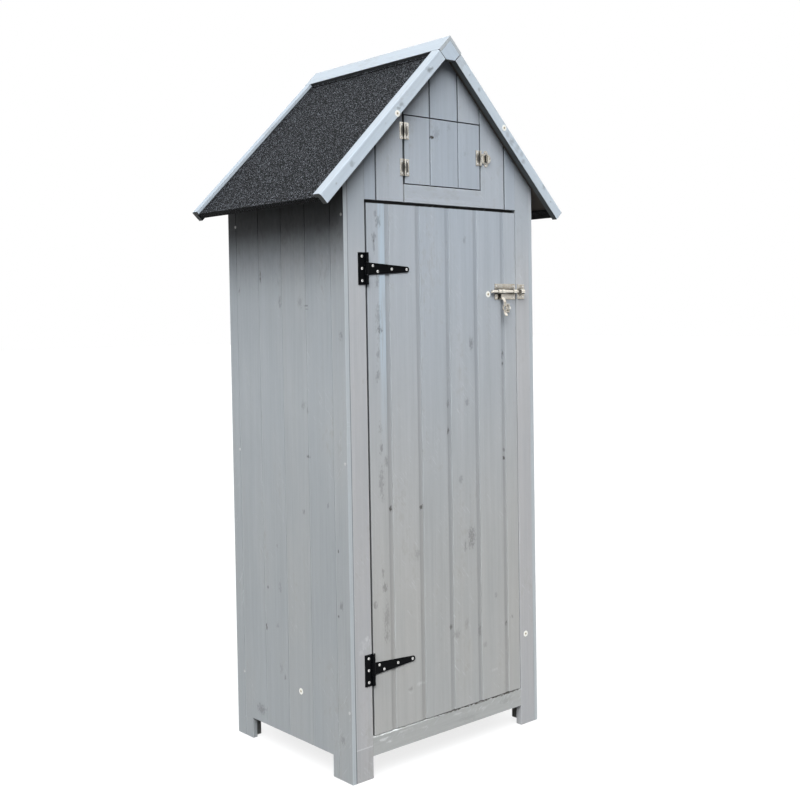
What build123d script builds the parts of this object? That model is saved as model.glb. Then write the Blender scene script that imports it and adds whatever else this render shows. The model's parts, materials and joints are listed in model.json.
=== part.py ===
from build123d import *
import os
from math import atan2, cos, sin, tan

# A narrow garden tool shed: plank walls on corner posts, a felted gable roof, a plank door on
# T hinges with a padlock bolt, and a small hatch in the gable with a hasp and a turn staple.
# Millimetres. X to the right, the front faces -Y, Z up. The origin is on the ground, under the middle.

# Overall sizes
BODY_W = 610.0            # over the side boards
BODY_D = 493.0            # front face to back face
EAVE_OVERHANG = 86.0      # side wall to the eave, level
GABLE_OVERHANG = 31.5     # front or back face to the bargeboard's face
APEX_Z = 1750.0           # top of the ridge cap
ROOF_RISE = 403.0         # eave end of a bargeboard to the apex

# Timber sections
BOARD_T = 12.0            # wall, gable and shelf boards
FRAME_T = 18.0            # stiles, rails and battens
POST_X = 20.0             # corner post, across the shed
POST_Y = 45.0             # corner post, front to back
LEDGE_T = 15.0            # ledges behind the door and the hatch
STOP_GAP = 0.8            # the door and hatch boards are this much thinner than the wall boards
FIT = 1.0                 # slack round shelf and floor boards

# Board joints
TONGUE_T = 4.0
TONGUE_L = 5.0
TONGUE_FIT = 0.2
MIN_BOARD = 15.0          # a narrower remainder is added to its neighbour
WALL_CHANNEL = (2.0, 1.5)     # width and depth of the line between wall boards
GABLE_CHANNEL = (4.0, 4.0)
DOOR_CHANNEL = (13.5, 2.6)

# Walls and feet
WALL_PITCH = 101.0
WALL_FIRST = 51.5         # part board at the front of a side wall
BACK_FIRST = 40.5         # part board at one side of the back wall
PANEL_Z = 52.0            # lower edge of the walls, between the feet
FOOT_FRONT = 75.0
FOOT_BACK = 70.0
FOOT_REAR_W = 48.0        # feet of the back wall, seen from behind

# Front frame and door
STILE_W = 48.0
OPENING_DROP = 1.2        # eave to the top of the door's opening
RAIL_TOP = 97.0
RAIL_ROUND = 3.0
HEAD_H = 44.0             # head batten, which also stops the door
HEAD_DROP = 27.3          # how far it hangs below the opening's top
DOOR_GAP_HINGE = 5.0
DOOR_GAP_FREE = 3.0
DOOR_GAP_TOP = 7.6
DOOR_GAP_BOTTOM = 2.0
DOOR_FIRST = 66.0
DOOR_PITCH = 94.0
LEDGE_H = 70.0
LEDGE_INSET = 18.0        # door edge to the ledge's end
BRACE_W = 70.0

# Hatch in the gable
HATCH_W = 244.0
HATCH_H = 160.0
SILL_H = 42.2             # board under the hatch
HATCH_GAP = 2.5
HATCH_BATTEN_H = 30.0
HATCH_BATTEN_INSET = 22.0
GABLE_BOARD = 91.0        # the full board in the middle of the gable
GABLE_SHIFT = 5.0         # its centre, right of the ridge
GABLE_SIDE = 84.0         # board beside the hatch
HATCH_STOP_W = 33.0
HATCH_STOP_LAP = 8.0      # how far the stops reach behind the hatch

# Floor and shelves
FLOOR_BEARER_H = 33.0
CLEAT_H = 30.0
SHELF_TOPS = (520.0, 930.0)
SHELF_FRONT = 8.5         # front post to a shelf's edge
SHELF_BACK = 2.5          # back post to a shelf's edge
SHELF_BOARDS = 4
SHELF_GAP = 3.5
ATTIC_DROP = 8.4          # wall plate to the attic floor
ATTIC_FRONT = 2.5         # hatch stops to the attic floor
ATTIC_BOARDS = 5
FLOOR_BOARDS = 5
BACK_BATTEN_Z = (300.0, 700.0, 1100.0)
BACK_BATTEN_H = 40.0
PLATE_H = 34.0            # wall plate under the eave
RIDGE_BEAM_W = 20.0
RIDGE_BEAM_H = 48.0

# Roof
DECK_T = 9.0
FELT_T = 3.0
TRIM_T = 10.0             # bargeboard flange that lies on the felt
RIDGE_FELT_T = 2.0
RIDGE_FELT_W = 60.0
FELT_TURN = 25.0          # felt turned under the eave
FELT_ROUND = 2.5
EAVE_SET = 2.0            # the felt stops this far short of the bargeboard's end
CAP_W = 52.0              # ridge cap board, down the slope
BARGE_T = 16.0
BARGE_H = 29.5
BARGE_FLANGE = 26.0
BARGE_SHOULDER = 6.0      # rounding between the flange and the face
BARGE_ROUND = 1.5         # rounding of the lower edge
BARGE_GAP = 1.5           # upper end to the cap
GUSSET_DROP = 31.0        # side of the apex plate, square to the slope

# T hinges of the door
HINGE_UP = 157.5          # door's lower edge to the lower hinge
HINGE_DOWN = 151.2        # door's top to the upper hinge
T_LEAF_H = 74.0
T_LEAF_W = 23.5           # from the pin
T_STRAP_L = 127.5         # from the pin
T_STRAP_ROOT = 28.8
T_STRAP_TIP = 13.0
T_PLATE = 2.0
T_BARREL_R = 4.0
T_PIN_R = 2.0

# Butt hinges of the hatch
BUTT_INSET = 37.0         # hatch edge to the middle of a hinge
BUTT_H = 40.0
BUTT_LEAF_W = 13.7
BUTT_KNUCKLE = 13.0       # middle knuckle
BUTT_PLATE = 1.2
BUTT_BARREL_R = 2.4
BUTT_PIN_R = 1.2

# Fits of the hardware
PIN_FIT = 0.05            # pin in its barrel, on the radius
KNUCKLE_GAP = 0.4         # between knuckles, and round them
BARREL_CLEAR = 0.2        # barrel above the wood

# Door bolt
BOLT_DOWN = 202.2         # door's top to the rod
BOLT_SPARE = 5.6          # plate left over beyond the lever's travel
BOLT_PLATE_H = 40.0
BOLT_EDGE = 3.0           # door edge to the plate
BOLT_PLATE_T = 1.5
BOLT_ROD_R = 4.5
BOLT_ROD_L = 92.0
BOLT_ROD_ROUND = 1.5
LEVER_CLEAR = 0.3         # between the lever's ring and the plate
BOLT_TRAVEL = 24.0
BOLT_TIP = 1.0            # drawn rod, past the door's edge
BOLT_ROD_FIT = 0.1
STRAP_W = 10.0
STRAP_INSET = 4.0
STRAP_T = 1.6
COLLAR_W = 2.2
COLLAR_R = 5.6
LEVER_W = 9.0
LEVER_T = 1.8
LEVER_SIDE = 0.3          # slack between the lever and its collars
LEVER_NECK = 14.0         # the lever hangs straight down to here, below the rod
LEVER_STEP = 8.0          # then stands out by this much
LEVER_KNEE = 26.0
LEVER_FOOT = 54.0
LEVER_TIP = 62.0
LEVER_TIP_OUT = 14.0
EYE_Z = 42.0              # padlock eye, below the rod
EYE_R = 8.5
EYE_HOLE_R = 4.2
STAPLE_W = 15.0
STAPLE_H = 23.0
STAPLE_WIRE_R = 1.5
STAPLE_LOOP_R = 6.0
STAPLE_LEG = 2.5
KEEPER_W = 26.0
KEEPER_H = 38.0
KEEPER_EDGE = 3.0         # opening edge to the keeper
KEEPER_STRAP = 12.0
KEEPER_FIT = 0.9          # loose, so that the door may sag a little

# Hasp and turn staple of the hatch
HASP_UP = 78.5            # hatch's lower edge to the hasp
HASP_H = 38.0
HASP_LEAF_W = 15.5
HASP_KNUCKLE = 14.0
HASP_FLAP_L = 34.5
HASP_FLAP_H = 24.0
HASP_PLATE = 1.2
HASP_BARREL_R = 2.2
HASP_PIN_R = 1.0
HASP_SLOT_W = 9.0
HASP_SLOT_H = 19.0
HASP_SLOT_X = 18.5        # pin to the slot's centre
TURN_BASE_W = 14.0
TURN_BASE_PAST = 8.5      # base, above and below the flap
TURN_BASE_T = 1.0
TURN_NECK_R = 2.4
TURN_NECK_L = 3.2
TURN_HEAD_W = 5.2
TURN_HEAD_L = 15.5
TURN_HEAD_T = 3.0
TURN_GRIP_T = 2.0
TURN_GRIP_H = 3.0
TURN_ROUND = 1.7
SLOT_ROUND = 3.0

# Screws and nails: shank radius, shank length, head radius, head height
WOOD_SCREW = (1.6, 10.0, 3.4, 1.5)
SMALL_SCREW = (1.0, 8.0, 2.1, 1.0)
LONG_SCREW = (1.8, 26.0, 3.6, 0.8)
NAIL = (1.0, 8.0, 2.8, 0.7)
HEAD_ROUND = 0.35         # rounding of a head's rim
PILOT = 0.05              # hole over shank, on the radius
PAST = 1.0                # cutters run past what they cut

# Screw places, from the pin, edge or middle of the plate that they hold
T_LEAF_SCREW_X = 13.0
T_LEAF_SCREW_Z = (-28.0, 0.0, 28.0)
T_STRAP_SCREW = ((18.0, 7.0), (32.0, -6.0), (74.0, 0.0))
T_TIP_SCREW = 8.5         # from the strap's tip
BUTT_SCREW_X = 8.5
BUTT_SCREW_Z = (-14.0, 14.0)
BOLT_SCREW_X = 6.0
BOLT_SCREW_Z = (-14.0, 14.0)
STAPLE_SCREW_X = (-4.7, 4.7)
KEEPER_SCREW_X = 20.0
KEEPER_SCREW_Z = (-13.0, 13.0)
HASP_SCREW_X = 10.0
HASP_SCREW_Z = (-14.0, 14.0)
TURN_SCREW_PAST = 3.8     # above and below the flap
SIDE_SCREW_LOW = (166.0, 741.0)
SIDE_SCREW_DROP = 38.0    # eave to the top screws
NAIL_DOWN = (104.0, 308.0, 512.0)     # down the slope

# Places worked out from the sizes above
ROOF_W = BODY_W + 2 * EAVE_OVERHANG
ROOF_D = BODY_D + 2 * GABLE_OVERHANG
EAVE_Z = APEX_Z - ROOF_RISE
HALF_W = BODY_W / 2
FRONT = -BODY_D / 2
BACK = BODY_D / 2
INNER_X = HALF_W - BOARD_T
POST_IN_X = INNER_X - POST_X
POST_FRONT = FRONT + FRAME_T
POST_BACK = BACK - BOARD_T
CLEAT_Y = (POST_FRONT + POST_Y, POST_BACK - POST_Y)
OPEN_X = INNER_X - STILE_W
OPENING_TOP = EAVE_Z - OPENING_DROP
LEAF_T = BOARD_T - STOP_GAP
DOOR_X = (-OPEN_X + DOOR_GAP_HINGE, OPEN_X - DOOR_GAP_FREE)
DOOR_Z = (RAIL_TOP + DOOR_GAP_BOTTOM, OPENING_TOP - DOOR_GAP_TOP)
HINGE_Z = (DOOR_Z[0] + HINGE_UP, DOOR_Z[1] - HINGE_DOWN)
BOLT_Z = DOOR_Z[1] - BOLT_DOWN
HATCH_Z = OPENING_TOP + SILL_H + HATCH_GAP
HATCH_X = HATCH_W / 2
HATCH_HOLE_X = HATCH_X + HATCH_GAP
HATCH_TOP = HATCH_Z + HATCH_H
HEAD_TOP = OPENING_TOP - HEAD_DROP + HEAD_H
PITCH = atan2(ROOF_RISE, ROOF_W / 2)
SLOPE_L = ROOF_W / 2 / cos(PITCH)
DECK_TOP = -(TRIM_T + FELT_T)
DECK_UNDER = DECK_TOP - DECK_T
RIDGE_Z = APEX_Z + DECK_UNDER / cos(PITCH)
PLATE_Z = RIDGE_Z - INNER_X * tan(PITCH) - PLATE_H
ATTIC_TOP = PLATE_Z - ATTIC_DROP
ROOF_Y = ROOF_D / 2
DECK_Y = ROOF_Y - BARGE_T
T_PIN = (-OPEN_X + DOOR_GAP_HINGE / 2, FRONT - T_BARREL_R - BARREL_CLEAR)
BUTT_PIN = (-HATCH_X - HATCH_GAP / 2, FRONT - BUTT_BARREL_R - BARREL_CLEAR)
HASP_PIN = (HATCH_X + HATCH_GAP / 2, FRONT - HASP_BARREL_R - BARREL_CLEAR)
BUTT_Z = (HATCH_Z + BUTT_INSET, HATCH_TOP - BUTT_INSET)
LEVER_ROOM = LEVER_W + 2 * (COLLAR_W + LEVER_SIDE)
BOLT_PLATE_L = 2 * (STRAP_INSET + STRAP_W) + KNUCKLE_GAP + LEVER_ROOM + BOLT_TRAVEL + BOLT_SPARE
BOLT_X = (DOOR_X[1] - BOLT_EDGE - BOLT_PLATE_L, DOOR_X[1] - BOLT_EDGE)
BOLT_Y = FRONT - BOLT_PLATE_T - LEVER_CLEAR - LEVER_T - PIN_FIT - BOLT_ROD_R
ROD_X = DOOR_X[1] + BOLT_TIP - BOLT_ROD_L
LEVER_X = BOLT_X[0] + STRAP_INSET + STRAP_W + KNUCKLE_GAP + LEVER_ROOM / 2
STAPLE_X = LEVER_X + BOLT_TRAVEL
TURN_X = HASP_PIN[0] + HASP_SLOT_X
HASP_Z = HATCH_Z + HASP_UP
TURN_BASE_H = HASP_FLAP_H + 2 * TURN_BASE_PAST
SIDE_SCREW_Z = (*SIDE_SCREW_LOW, EAVE_Z - SIDE_SCREW_DROP)

LOW = (Align.MIN, Align.MIN, Align.MIN)
UP = (Align.CENTER, Align.CENTER, Align.MIN)
FACING = {"front": Rot(90, 0, 0), "left": Rot(0, -90, 0), "right": Rot(0, 90, 0), "back": Rot(-90, 0, 0)}

os.makedirs("parts", exist_ok=True)


def save(name, *shapes):
    """Write one node; a node may hold several separate solids."""
    solids = [solid for shape in shapes for solid in shape.solids()]
    export_step(Compound(solids) if len(solids) > 1 else solids[0], f"parts/{name}.step")


def block(x, y, z):
    """Box between two limits on each axis."""
    size = (x[1] - x[0], y[1] - y[0], z[1] - z[0])
    return Pos(x[0], y[0], z[0]) * Box(*size, align=LOW)


def prism(points, push):
    """Flat outline pushed along a vector."""
    return extrude(make_face(Polyline(*points, close=True)), amount=Vector(push).length, dir=push)


def slope(side, down, out):
    """Point on a roof slope, from the apex: down the slope, and out of its surface."""
    x = down * cos(PITCH) + out * sin(PITCH)
    return side * x, APEX_Z - down * sin(PITCH) + out * cos(PITCH)


def mitre(out):
    """Distance down the slope where a layer meets its twin over the ridge."""
    return -out * tan(PITCH)


def slope_prism(side, outline, y):
    """Outline in slope coordinates, pushed from front to back."""
    points = [(slope(side, *point)[0], y[0], slope(side, *point)[1]) for point in outline]
    return prism(points, (0, y[1] - y[0], 0))


def under_roof():
    """Everything above the roof deck's underside, to cut the tops of walls with."""
    far = ROOF_W
    low = RIDGE_Z - far * tan(PITCH)
    outline = [(-far, low), (0, RIDGE_Z), (far, low)]
    outline += [(far, APEX_Z + far), (-far, APEX_Z + far)]
    return prism([(x, -ROOF_D, z) for x, z in outline], (0, 2 * ROOF_D, 0))


ROOF_SPACE = under_roof()


def row_widths(total, first, pitch):
    """Board widths across a wall: a part board, full boards and what is left."""
    widths = [first]
    left = total - first
    while left > pitch + MIN_BOARD:
        widths.append(pitch)
        left -= pitch
    if left < MIN_BOARD:
        return widths[:-1] + [widths[-1] + left]
    return widths + [left]


def plank(width, length, thickness, channel, groove, tongue):
    """Upright board with its face on y = 0, a groove on the left, a channel and tongue on the right."""
    channel_w, channel_d = channel
    front = (channel_d + thickness - TONGUE_T) / 2
    back = front + TONGUE_T
    outline = [(0, 0)]
    if groove:
        deep = TONGUE_L + TONGUE_FIT
        outline += [(0, front - TONGUE_FIT), (deep, front - TONGUE_FIT)]
        outline += [(deep, back + TONGUE_FIT), (0, back + TONGUE_FIT)]
    outline += [(0, thickness), (width, thickness)]
    if tongue:
        outline += [(width, back), (width + TONGUE_L, back), (width + TONGUE_L, front), (width, front)]
        outline += [(width, channel_d), (width - channel_w, channel_d), (width - channel_w, 0)]
    else:
        outline += [(width, 0)]
    return prism([(x, y, 0) for x, y in outline], (0, 0, length))


def plank_row(widths, length, thickness, channel):
    """Boards side by side along x, joined tongue in groove."""
    row = []
    x = 0.0
    for i, width in enumerate(widths):
        board = plank(width, length, thickness, channel, i > 0, i < len(widths) - 1)
        row.append(Pos(x, 0, 0) * board)
        x += width
    return row


def cut(shapes, *tools):
    """Take the tools off each shape."""
    return [shape - list(tools) for shape in shapes]


def screw(kind, at, facing):
    """Screw or nail whose head is seated on a point of a surface."""
    shank_r, shank_l, head_r, head_h = kind
    head = Cylinder(head_r, head_h, align=UP)
    head = fillet(head.edges().group_by(Axis.Z)[-1], HEAD_ROUND)
    shank = Pos(0, 0, -shank_l) * Cylinder(shank_r, shank_l, align=UP)
    return Pos(*at) * FACING[facing] * (head + shank)


def pilot(kind, at, facing):
    """Hole that takes the shank of a screw."""
    shank_r, shank_l = kind[0] + PILOT, kind[1] + PILOT
    return Pos(*at) * FACING[facing] * (Pos(0, 0, -shank_l) * Cylinder(shank_r, 2 * shank_l, align=UP))


class Fixing:
    """A set of equal screws: their solids, and the holes that they need."""

    def __init__(self, kind, points, facing):
        self.screws = [screw(kind, at, facing) for at in points]
        self.holes = [pilot(kind, at, facing) for at in points]


SIDE_SCREW_Y = (FRONT + FRAME_T / 2, POST_BACK - POST_Y / 2)
STRAP_SCREW_PLACES = [*T_STRAP_SCREW, (T_STRAP_L - T_TIP_SCREW, 0.0)]
NAIL_PLACES = [slope(side, down, -BARGE_H / 2) for side in (-1, 1) for down in NAIL_DOWN]


def face_screws(kind, lift, places):
    """Screws in a plate of the given thickness on the front face."""
    return Fixing(kind, [(x, FRONT - lift, z) for x, z in places], "front")


T_LEAF_SCREWS = face_screws(WOOD_SCREW, T_PLATE, [(T_PIN[0] - T_LEAF_SCREW_X, z + dz)
                                                  for z in HINGE_Z for dz in T_LEAF_SCREW_Z])
T_STRAP_SCREWS = face_screws(WOOD_SCREW, T_PLATE, [(T_PIN[0] + dx, z + dz)
                                                   for z in HINGE_Z for dx, dz in STRAP_SCREW_PLACES])
BUTT_LEAF_SCREWS = face_screws(SMALL_SCREW, BUTT_PLATE, [(BUTT_PIN[0] - BUTT_SCREW_X, z + dz)
                                                         for z in BUTT_Z for dz in BUTT_SCREW_Z])
BUTT_FLAP_SCREWS = face_screws(SMALL_SCREW, BUTT_PLATE, [(BUTT_PIN[0] + BUTT_SCREW_X, z + dz)
                                                         for z in BUTT_Z for dz in BUTT_SCREW_Z])
BOLT_SCREWS = face_screws(SMALL_SCREW, BOLT_PLATE_T, [(x, BOLT_Z + dz) for dz in BOLT_SCREW_Z
                                                      for x in (BOLT_X[0] + BOLT_SCREW_X,
                                                                BOLT_X[1] - BOLT_SCREW_X)])
STAPLE_SCREWS = face_screws(SMALL_SCREW, BOLT_PLATE_T, [(STAPLE_X + dx, BOLT_Z - EYE_Z)
                                                        for dx in STAPLE_SCREW_X])
KEEPER_SCREWS = face_screws(SMALL_SCREW, BOLT_PLATE_T, [(OPEN_X + KEEPER_EDGE + KEEPER_SCREW_X, BOLT_Z + dz)
                                                        for dz in KEEPER_SCREW_Z])
HASP_SCREWS = face_screws(SMALL_SCREW, HASP_PLATE, [(HASP_PIN[0] - HASP_SCREW_X, HASP_Z + dz)
                                                    for dz in HASP_SCREW_Z])
TURN_SCREW_Z = HASP_FLAP_H / 2 + TURN_SCREW_PAST
TURN_SCREWS = face_screws(SMALL_SCREW, TURN_BASE_T, [(TURN_X, HASP_Z - TURN_SCREW_Z),
                                                     (TURN_X, HASP_Z + TURN_SCREW_Z)])
LEFT_SCREWS = Fixing(LONG_SCREW, [(-HALF_W, y, z) for y in SIDE_SCREW_Y for z in SIDE_SCREW_Z], "left")
RIGHT_SCREWS = Fixing(LONG_SCREW, [(HALF_W, y, z) for y in SIDE_SCREW_Y for z in SIDE_SCREW_Z], "right")
FRONT_NAILS = Fixing(NAIL, [(x, -ROOF_Y, z) for x, z in NAIL_PLACES], "front")
BACK_NAILS = Fixing(NAIL, [(x, ROOF_Y, z) for x, z in NAIL_PLACES], "back")


def side_walls():
    """Left and right walls: planks with the lower edge cut away between the feet."""
    between_feet = block((-BODY_W, BODY_W), (FRONT + FOOT_FRONT, BACK - FOOT_BACK), (-PAST, PANEL_Z))
    widths = row_widths(BODY_D, WALL_FIRST, WALL_PITCH)
    right = plank_row(widths, APEX_Z, BOARD_T, WALL_CHANNEL)
    left = plank_row(widths[::-1], APEX_Z, BOARD_T, WALL_CHANNEL)
    right = [Pos(HALF_W, FRONT, 0) * Rot(0, 0, 90) * board for board in right]
    left = [Pos(-HALF_W, BACK, 0) * Rot(0, 0, -90) * board for board in left]
    save("left_wall_boards", *cut(left, between_feet, ROOF_SPACE, *LEFT_SCREWS.holes))
    save("right_wall_boards", *cut(right, between_feet, ROOF_SPACE, *RIGHT_SCREWS.holes))


def back_wall():
    """Back wall between the side walls, up to the roof, and its battens."""
    widths = row_widths(2 * INNER_X, BACK_FIRST, WALL_PITCH)
    boards = plank_row(widths, APEX_Z, BOARD_T, WALL_CHANNEL)
    boards = [Pos(INNER_X, BACK, 0) * Rot(0, 0, 180) * board for board in boards]
    foot = INNER_X - FOOT_REAR_W
    between_feet = block((-foot, foot), (FRONT, BODY_D), (-PAST, PANEL_Z))
    save("back_wall_boards", *cut(boards, between_feet, ROOF_SPACE))
    y = (POST_BACK - FRAME_T, POST_BACK)
    battens = [block((-POST_IN_X, POST_IN_X), y, (z, z + BACK_BATTEN_H)) for z in BACK_BATTEN_Z]
    save("back_wall_battens", *battens)


def corner_posts():
    """Four posts, which are also the inner part of the feet."""
    posts = []
    for side in (-1, 1):
        x = sorted((side * INNER_X, side * POST_IN_X))
        for y in ((POST_FRONT, CLEAT_Y[0]), (CLEAT_Y[1], POST_BACK)):
            posts.append(block(x, y, (0, APEX_Z)))
    save("corner_posts", *cut(posts, ROOF_SPACE, *LEFT_SCREWS.holes, *RIGHT_SCREWS.holes))


def front_frame():
    """Stiles, bottom rail and head batten round the door."""
    y = (FRONT, POST_FRONT)
    left = block((-INNER_X, -OPEN_X), y, (0, APEX_Z))
    right = block((OPEN_X, INNER_X), y, (0, APEX_Z))
    save("front_stile_left", *cut([left], ROOF_SPACE, *LEFT_SCREWS.holes, *T_LEAF_SCREWS.holes))
    save("front_stile_right", *cut([right], ROOF_SPACE, *RIGHT_SCREWS.holes, *KEEPER_SCREWS.holes))
    rail = block((-OPEN_X, OPEN_X), y, (PANEL_Z, RAIL_TOP))
    front_edges = rail.edges().filter_by(Axis.X).group_by(Axis.Y)[0]
    save("bottom_rail", fillet(front_edges.sort_by(Axis.Z)[-1], RAIL_ROUND))
    head_y = (FRONT + BOARD_T, FRONT + BOARD_T + FRAME_T)
    save("head_batten", block((-OPEN_X, OPEN_X), head_y, (HEAD_TOP - HEAD_H, HEAD_TOP)))


def gable():
    """Boards between the stiles above the door, with the hatch hole, its sill and its stops."""
    beside = row_widths(OPEN_X - HATCH_HOLE_X, GABLE_SIDE, GABLE_SIDE)
    left = HATCH_HOLE_X + GABLE_SHIFT - GABLE_BOARD / 2
    over = [left, GABLE_BOARD, 2 * HATCH_HOLE_X - left - GABLE_BOARD]
    boards = plank_row([*beside[::-1], *over, *beside], APEX_Z - OPENING_TOP, BOARD_T, GABLE_CHANNEL)
    boards = [Pos(-OPEN_X, FRONT, OPENING_TOP) * board for board in boards]
    hole_x = (-HATCH_HOLE_X, HATCH_HOLE_X)
    hole = block(hole_x, (2 * FRONT, 0), (0, HATCH_TOP + HATCH_GAP))
    save("gable_boards", *cut(boards, hole, ROOF_SPACE, *BUTT_LEAF_SCREWS.holes, *TURN_SCREWS.holes))
    save("hatch_sill", block(hole_x, (FRONT, FRONT + BOARD_T), (OPENING_TOP, HATCH_Z - HATCH_GAP)))
    inner = HATCH_X - HATCH_STOP_LAP
    y = (FRONT + BOARD_T, FRONT + BOARD_T + FRAME_T)
    stops = []
    for side in (-1, 1):
        x = sorted((side * inner, side * (inner + HATCH_STOP_W)))
        stops.append(block(x, y, (HEAD_TOP, APEX_Z)))
    save("hatch_stops", *cut(stops, ROOF_SPACE))


def cross_boards(count, x, y, z):
    """Boards laid from side to side, with gaps between them."""
    width = (y[1] - y[0] + SHELF_GAP) / count
    starts = [y[0] + i * width for i in range(count)]
    return [block(x, (start, start + width - SHELF_GAP), z) for start in starts]


def floor_and_shelves():
    """Floor on bearers, two shelves and the attic floor on cleats."""
    x = (-INNER_X + FIT, INNER_X - FIT)
    post_room = []
    for side in (-1, 1):
        corner = sorted((side * (POST_IN_X - FIT), side * BODY_W))
        post_room.append(block(corner, (2 * FRONT, CLEAT_Y[0] + FIT), (0, APEX_Z)))
        post_room.append(block(corner, (CLEAT_Y[1] - FIT, 2 * BACK), (0, APEX_Z)))
    floor_z = (RAIL_TOP - BOARD_T, RAIL_TOP)
    floor = cross_boards(FLOOR_BOARDS, x, (POST_FRONT + FIT, POST_BACK - FIT), floor_z)
    save("floor_boards", *cut(floor, *post_room))
    bearer_z = (floor_z[0] - FLOOR_BEARER_H, floor_z[0])
    between = (-POST_IN_X, POST_IN_X)
    bearers = [block(between, (POST_FRONT, POST_FRONT + FRAME_T), bearer_z),
               block(between, (POST_BACK - FRAME_T, POST_BACK), bearer_z)]
    cleats = []
    tops = [*SHELF_TOPS, ATTIC_TOP]
    for side in (-1, 1):
        cleat_x = sorted((side * INNER_X, side * (INNER_X - FRAME_T)))
        bearers.append(block(cleat_x, CLEAT_Y, bearer_z))
        cleats += [block(cleat_x, CLEAT_Y, (top - BOARD_T - CLEAT_H, top - BOARD_T)) for top in tops]
    save("floor_bearers", *bearers)
    save("shelf_cleats", *cleats)
    shelf_y = (CLEAT_Y[0] + SHELF_FRONT, CLEAT_Y[1] - SHELF_BACK)
    for name, top in zip(("lower_shelf", "upper_shelf"), SHELF_TOPS):
        save(name, *cross_boards(SHELF_BOARDS, x, shelf_y, (top - BOARD_T, top)))
    attic_y = (FRONT + BOARD_T + FRAME_T + ATTIC_FRONT, POST_BACK - FIT)
    attic = cross_boards(ATTIC_BOARDS, x, attic_y, (ATTIC_TOP - BOARD_T, ATTIC_TOP))
    save("attic_floor", *cut(attic, *post_room))


def roof_timbers():
    """Ridge beam between the gables and a wall plate under each eave."""
    y = (FRONT + BOARD_T, POST_BACK)
    beam = block((-RIDGE_BEAM_W / 2, RIDGE_BEAM_W / 2), y, (RIDGE_Z - RIDGE_BEAM_H, APEX_Z))
    save("ridge_beam", *cut([beam], ROOF_SPACE))
    plates = []
    for side in (-1, 1):
        x = sorted((side * INNER_X, side * (INNER_X - FRAME_T)))
        plates.append(block(x, CLEAT_Y, (PLATE_Z, APEX_Z)))
    save("wall_plates", *cut(plates, ROOF_SPACE))


def roof_slope(name, side):
    """One side of the roof: deck, felt and ridge cap board."""
    felt_end = SLOPE_L - EAVE_SET
    deck_end = felt_end - FELT_T
    felt_top, felt_under = -TRIM_T, DECK_UNDER - FELT_T
    y = (-DECK_Y, DECK_Y)
    deck = [(mitre(DECK_TOP), DECK_TOP), (deck_end, DECK_TOP)]
    deck += [(deck_end, DECK_UNDER), (mitre(DECK_UNDER), DECK_UNDER)]
    save(f"roof_deck_{name}", slope_prism(side, deck, y))
    turn = deck_end - FELT_TURN
    felt = [(mitre(felt_top), felt_top), (felt_end, felt_top), (felt_end, felt_under), (turn, felt_under)]
    felt += [(turn, DECK_UNDER), (deck_end, DECK_UNDER), (deck_end, DECK_TOP), (mitre(DECK_TOP), DECK_TOP)]
    sheet = slope_prism(side, felt, y)
    rims = [edge for edge in sheet.edges().filter_by(Axis.Y)
            if min(abs(edge.center() - Vector(slope(side, *corner)[0], 0, slope(side, *corner)[1]))
                   for corner in ((felt_end, felt_top), (felt_end, felt_under))) < FELT_T / 2]
    save(f"roof_felt_{name}", fillet(rims, FELT_ROUND))
    cap_under = RIDGE_FELT_T - TRIM_T
    cap = [(0, 0), (CAP_W, 0), (CAP_W, cap_under), (mitre(cap_under), cap_under)]
    save(f"ridge_cap_{name}", slope_prism(side, cap, (-ROOF_Y, ROOF_Y)))


def ridge_felt():
    """Strip of felt folded over the ridge, between the bargeboards and under the cap."""
    top, under = RIDGE_FELT_T - TRIM_T, -TRIM_T
    outline = [slope(1, mitre(top), top), slope(1, RIDGE_FELT_W, top), slope(1, RIDGE_FELT_W, under)]
    outline += [slope(1, mitre(under), under), slope(-1, RIDGE_FELT_W, under), slope(-1, RIDGE_FELT_W, top)]
    reach = ROOF_Y - BARGE_FLANGE
    save("ridge_felt", prism([(x, -reach, z) for x, z in outline], (0, 2 * reach, 0)))


def bargeboard(name, side, end, holes):
    """L-shaped trim along one slope at the front (end -1) or the back (end 1)."""
    face = end * ROOF_Y
    lip, inner = face - end * BARGE_FLANGE, face - end * BARGE_T
    section = [(face, 0), (lip, 0), (lip, -TRIM_T), (inner, -TRIM_T), (inner, -BARGE_H), (face, -BARGE_H)]
    start = CAP_W + BARGE_GAP
    points = [(slope(side, start, out)[0], y, slope(side, start, out)[1]) for y, out in section]
    run = SLOPE_L - start
    board = prism(points, (side * run * cos(PITCH), 0, -run * sin(PITCH)))
    along = Axis((0, 0, 0), (side * cos(PITCH), 0, -sin(PITCH)))
    for place, radius in ((-1, BARGE_SHOULDER), (0, BARGE_ROUND)):
        rims = board.edges().filter_by(along).group_by(Axis.Y)[0 if end < 0 else -1].sort_by(Axis.Z)
        board = fillet(rims[place], radius)
    save(f"bargeboard_{name}", *cut([board], *holes))


def apex_plate(name, end):
    """Five-sided plate that closes the gap between two bargeboards under the cap."""
    top = RIDGE_FELT_T - TRIM_T
    outline = [slope(1, mitre(top), top), slope(1, CAP_W, top), slope(1, CAP_W, -GUSSET_DROP)]
    outline += [slope(-1, CAP_W, -GUSSET_DROP), slope(-1, CAP_W, top)]
    face = end * ROOF_Y
    save(f"apex_plate_{name}", prism([(x, face, z) for x, z in outline], (0, -end * BARGE_T, 0)))


def roof_trim():
    """Bargeboards on all four roof edges, and an apex plate at each end."""
    for end_name, end, nails in (("front", -1, FRONT_NAILS), ("back", 1, BACK_NAILS)):
        for side_name, side in (("left", -1), ("right", 1)):
            bargeboard(f"{end_name}_{side_name}", side, end, nails.holes)
        apex_plate(end_name, end)
    save("bargeboard_nails", *FRONT_NAILS.screws, *BACK_NAILS.screws)


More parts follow.
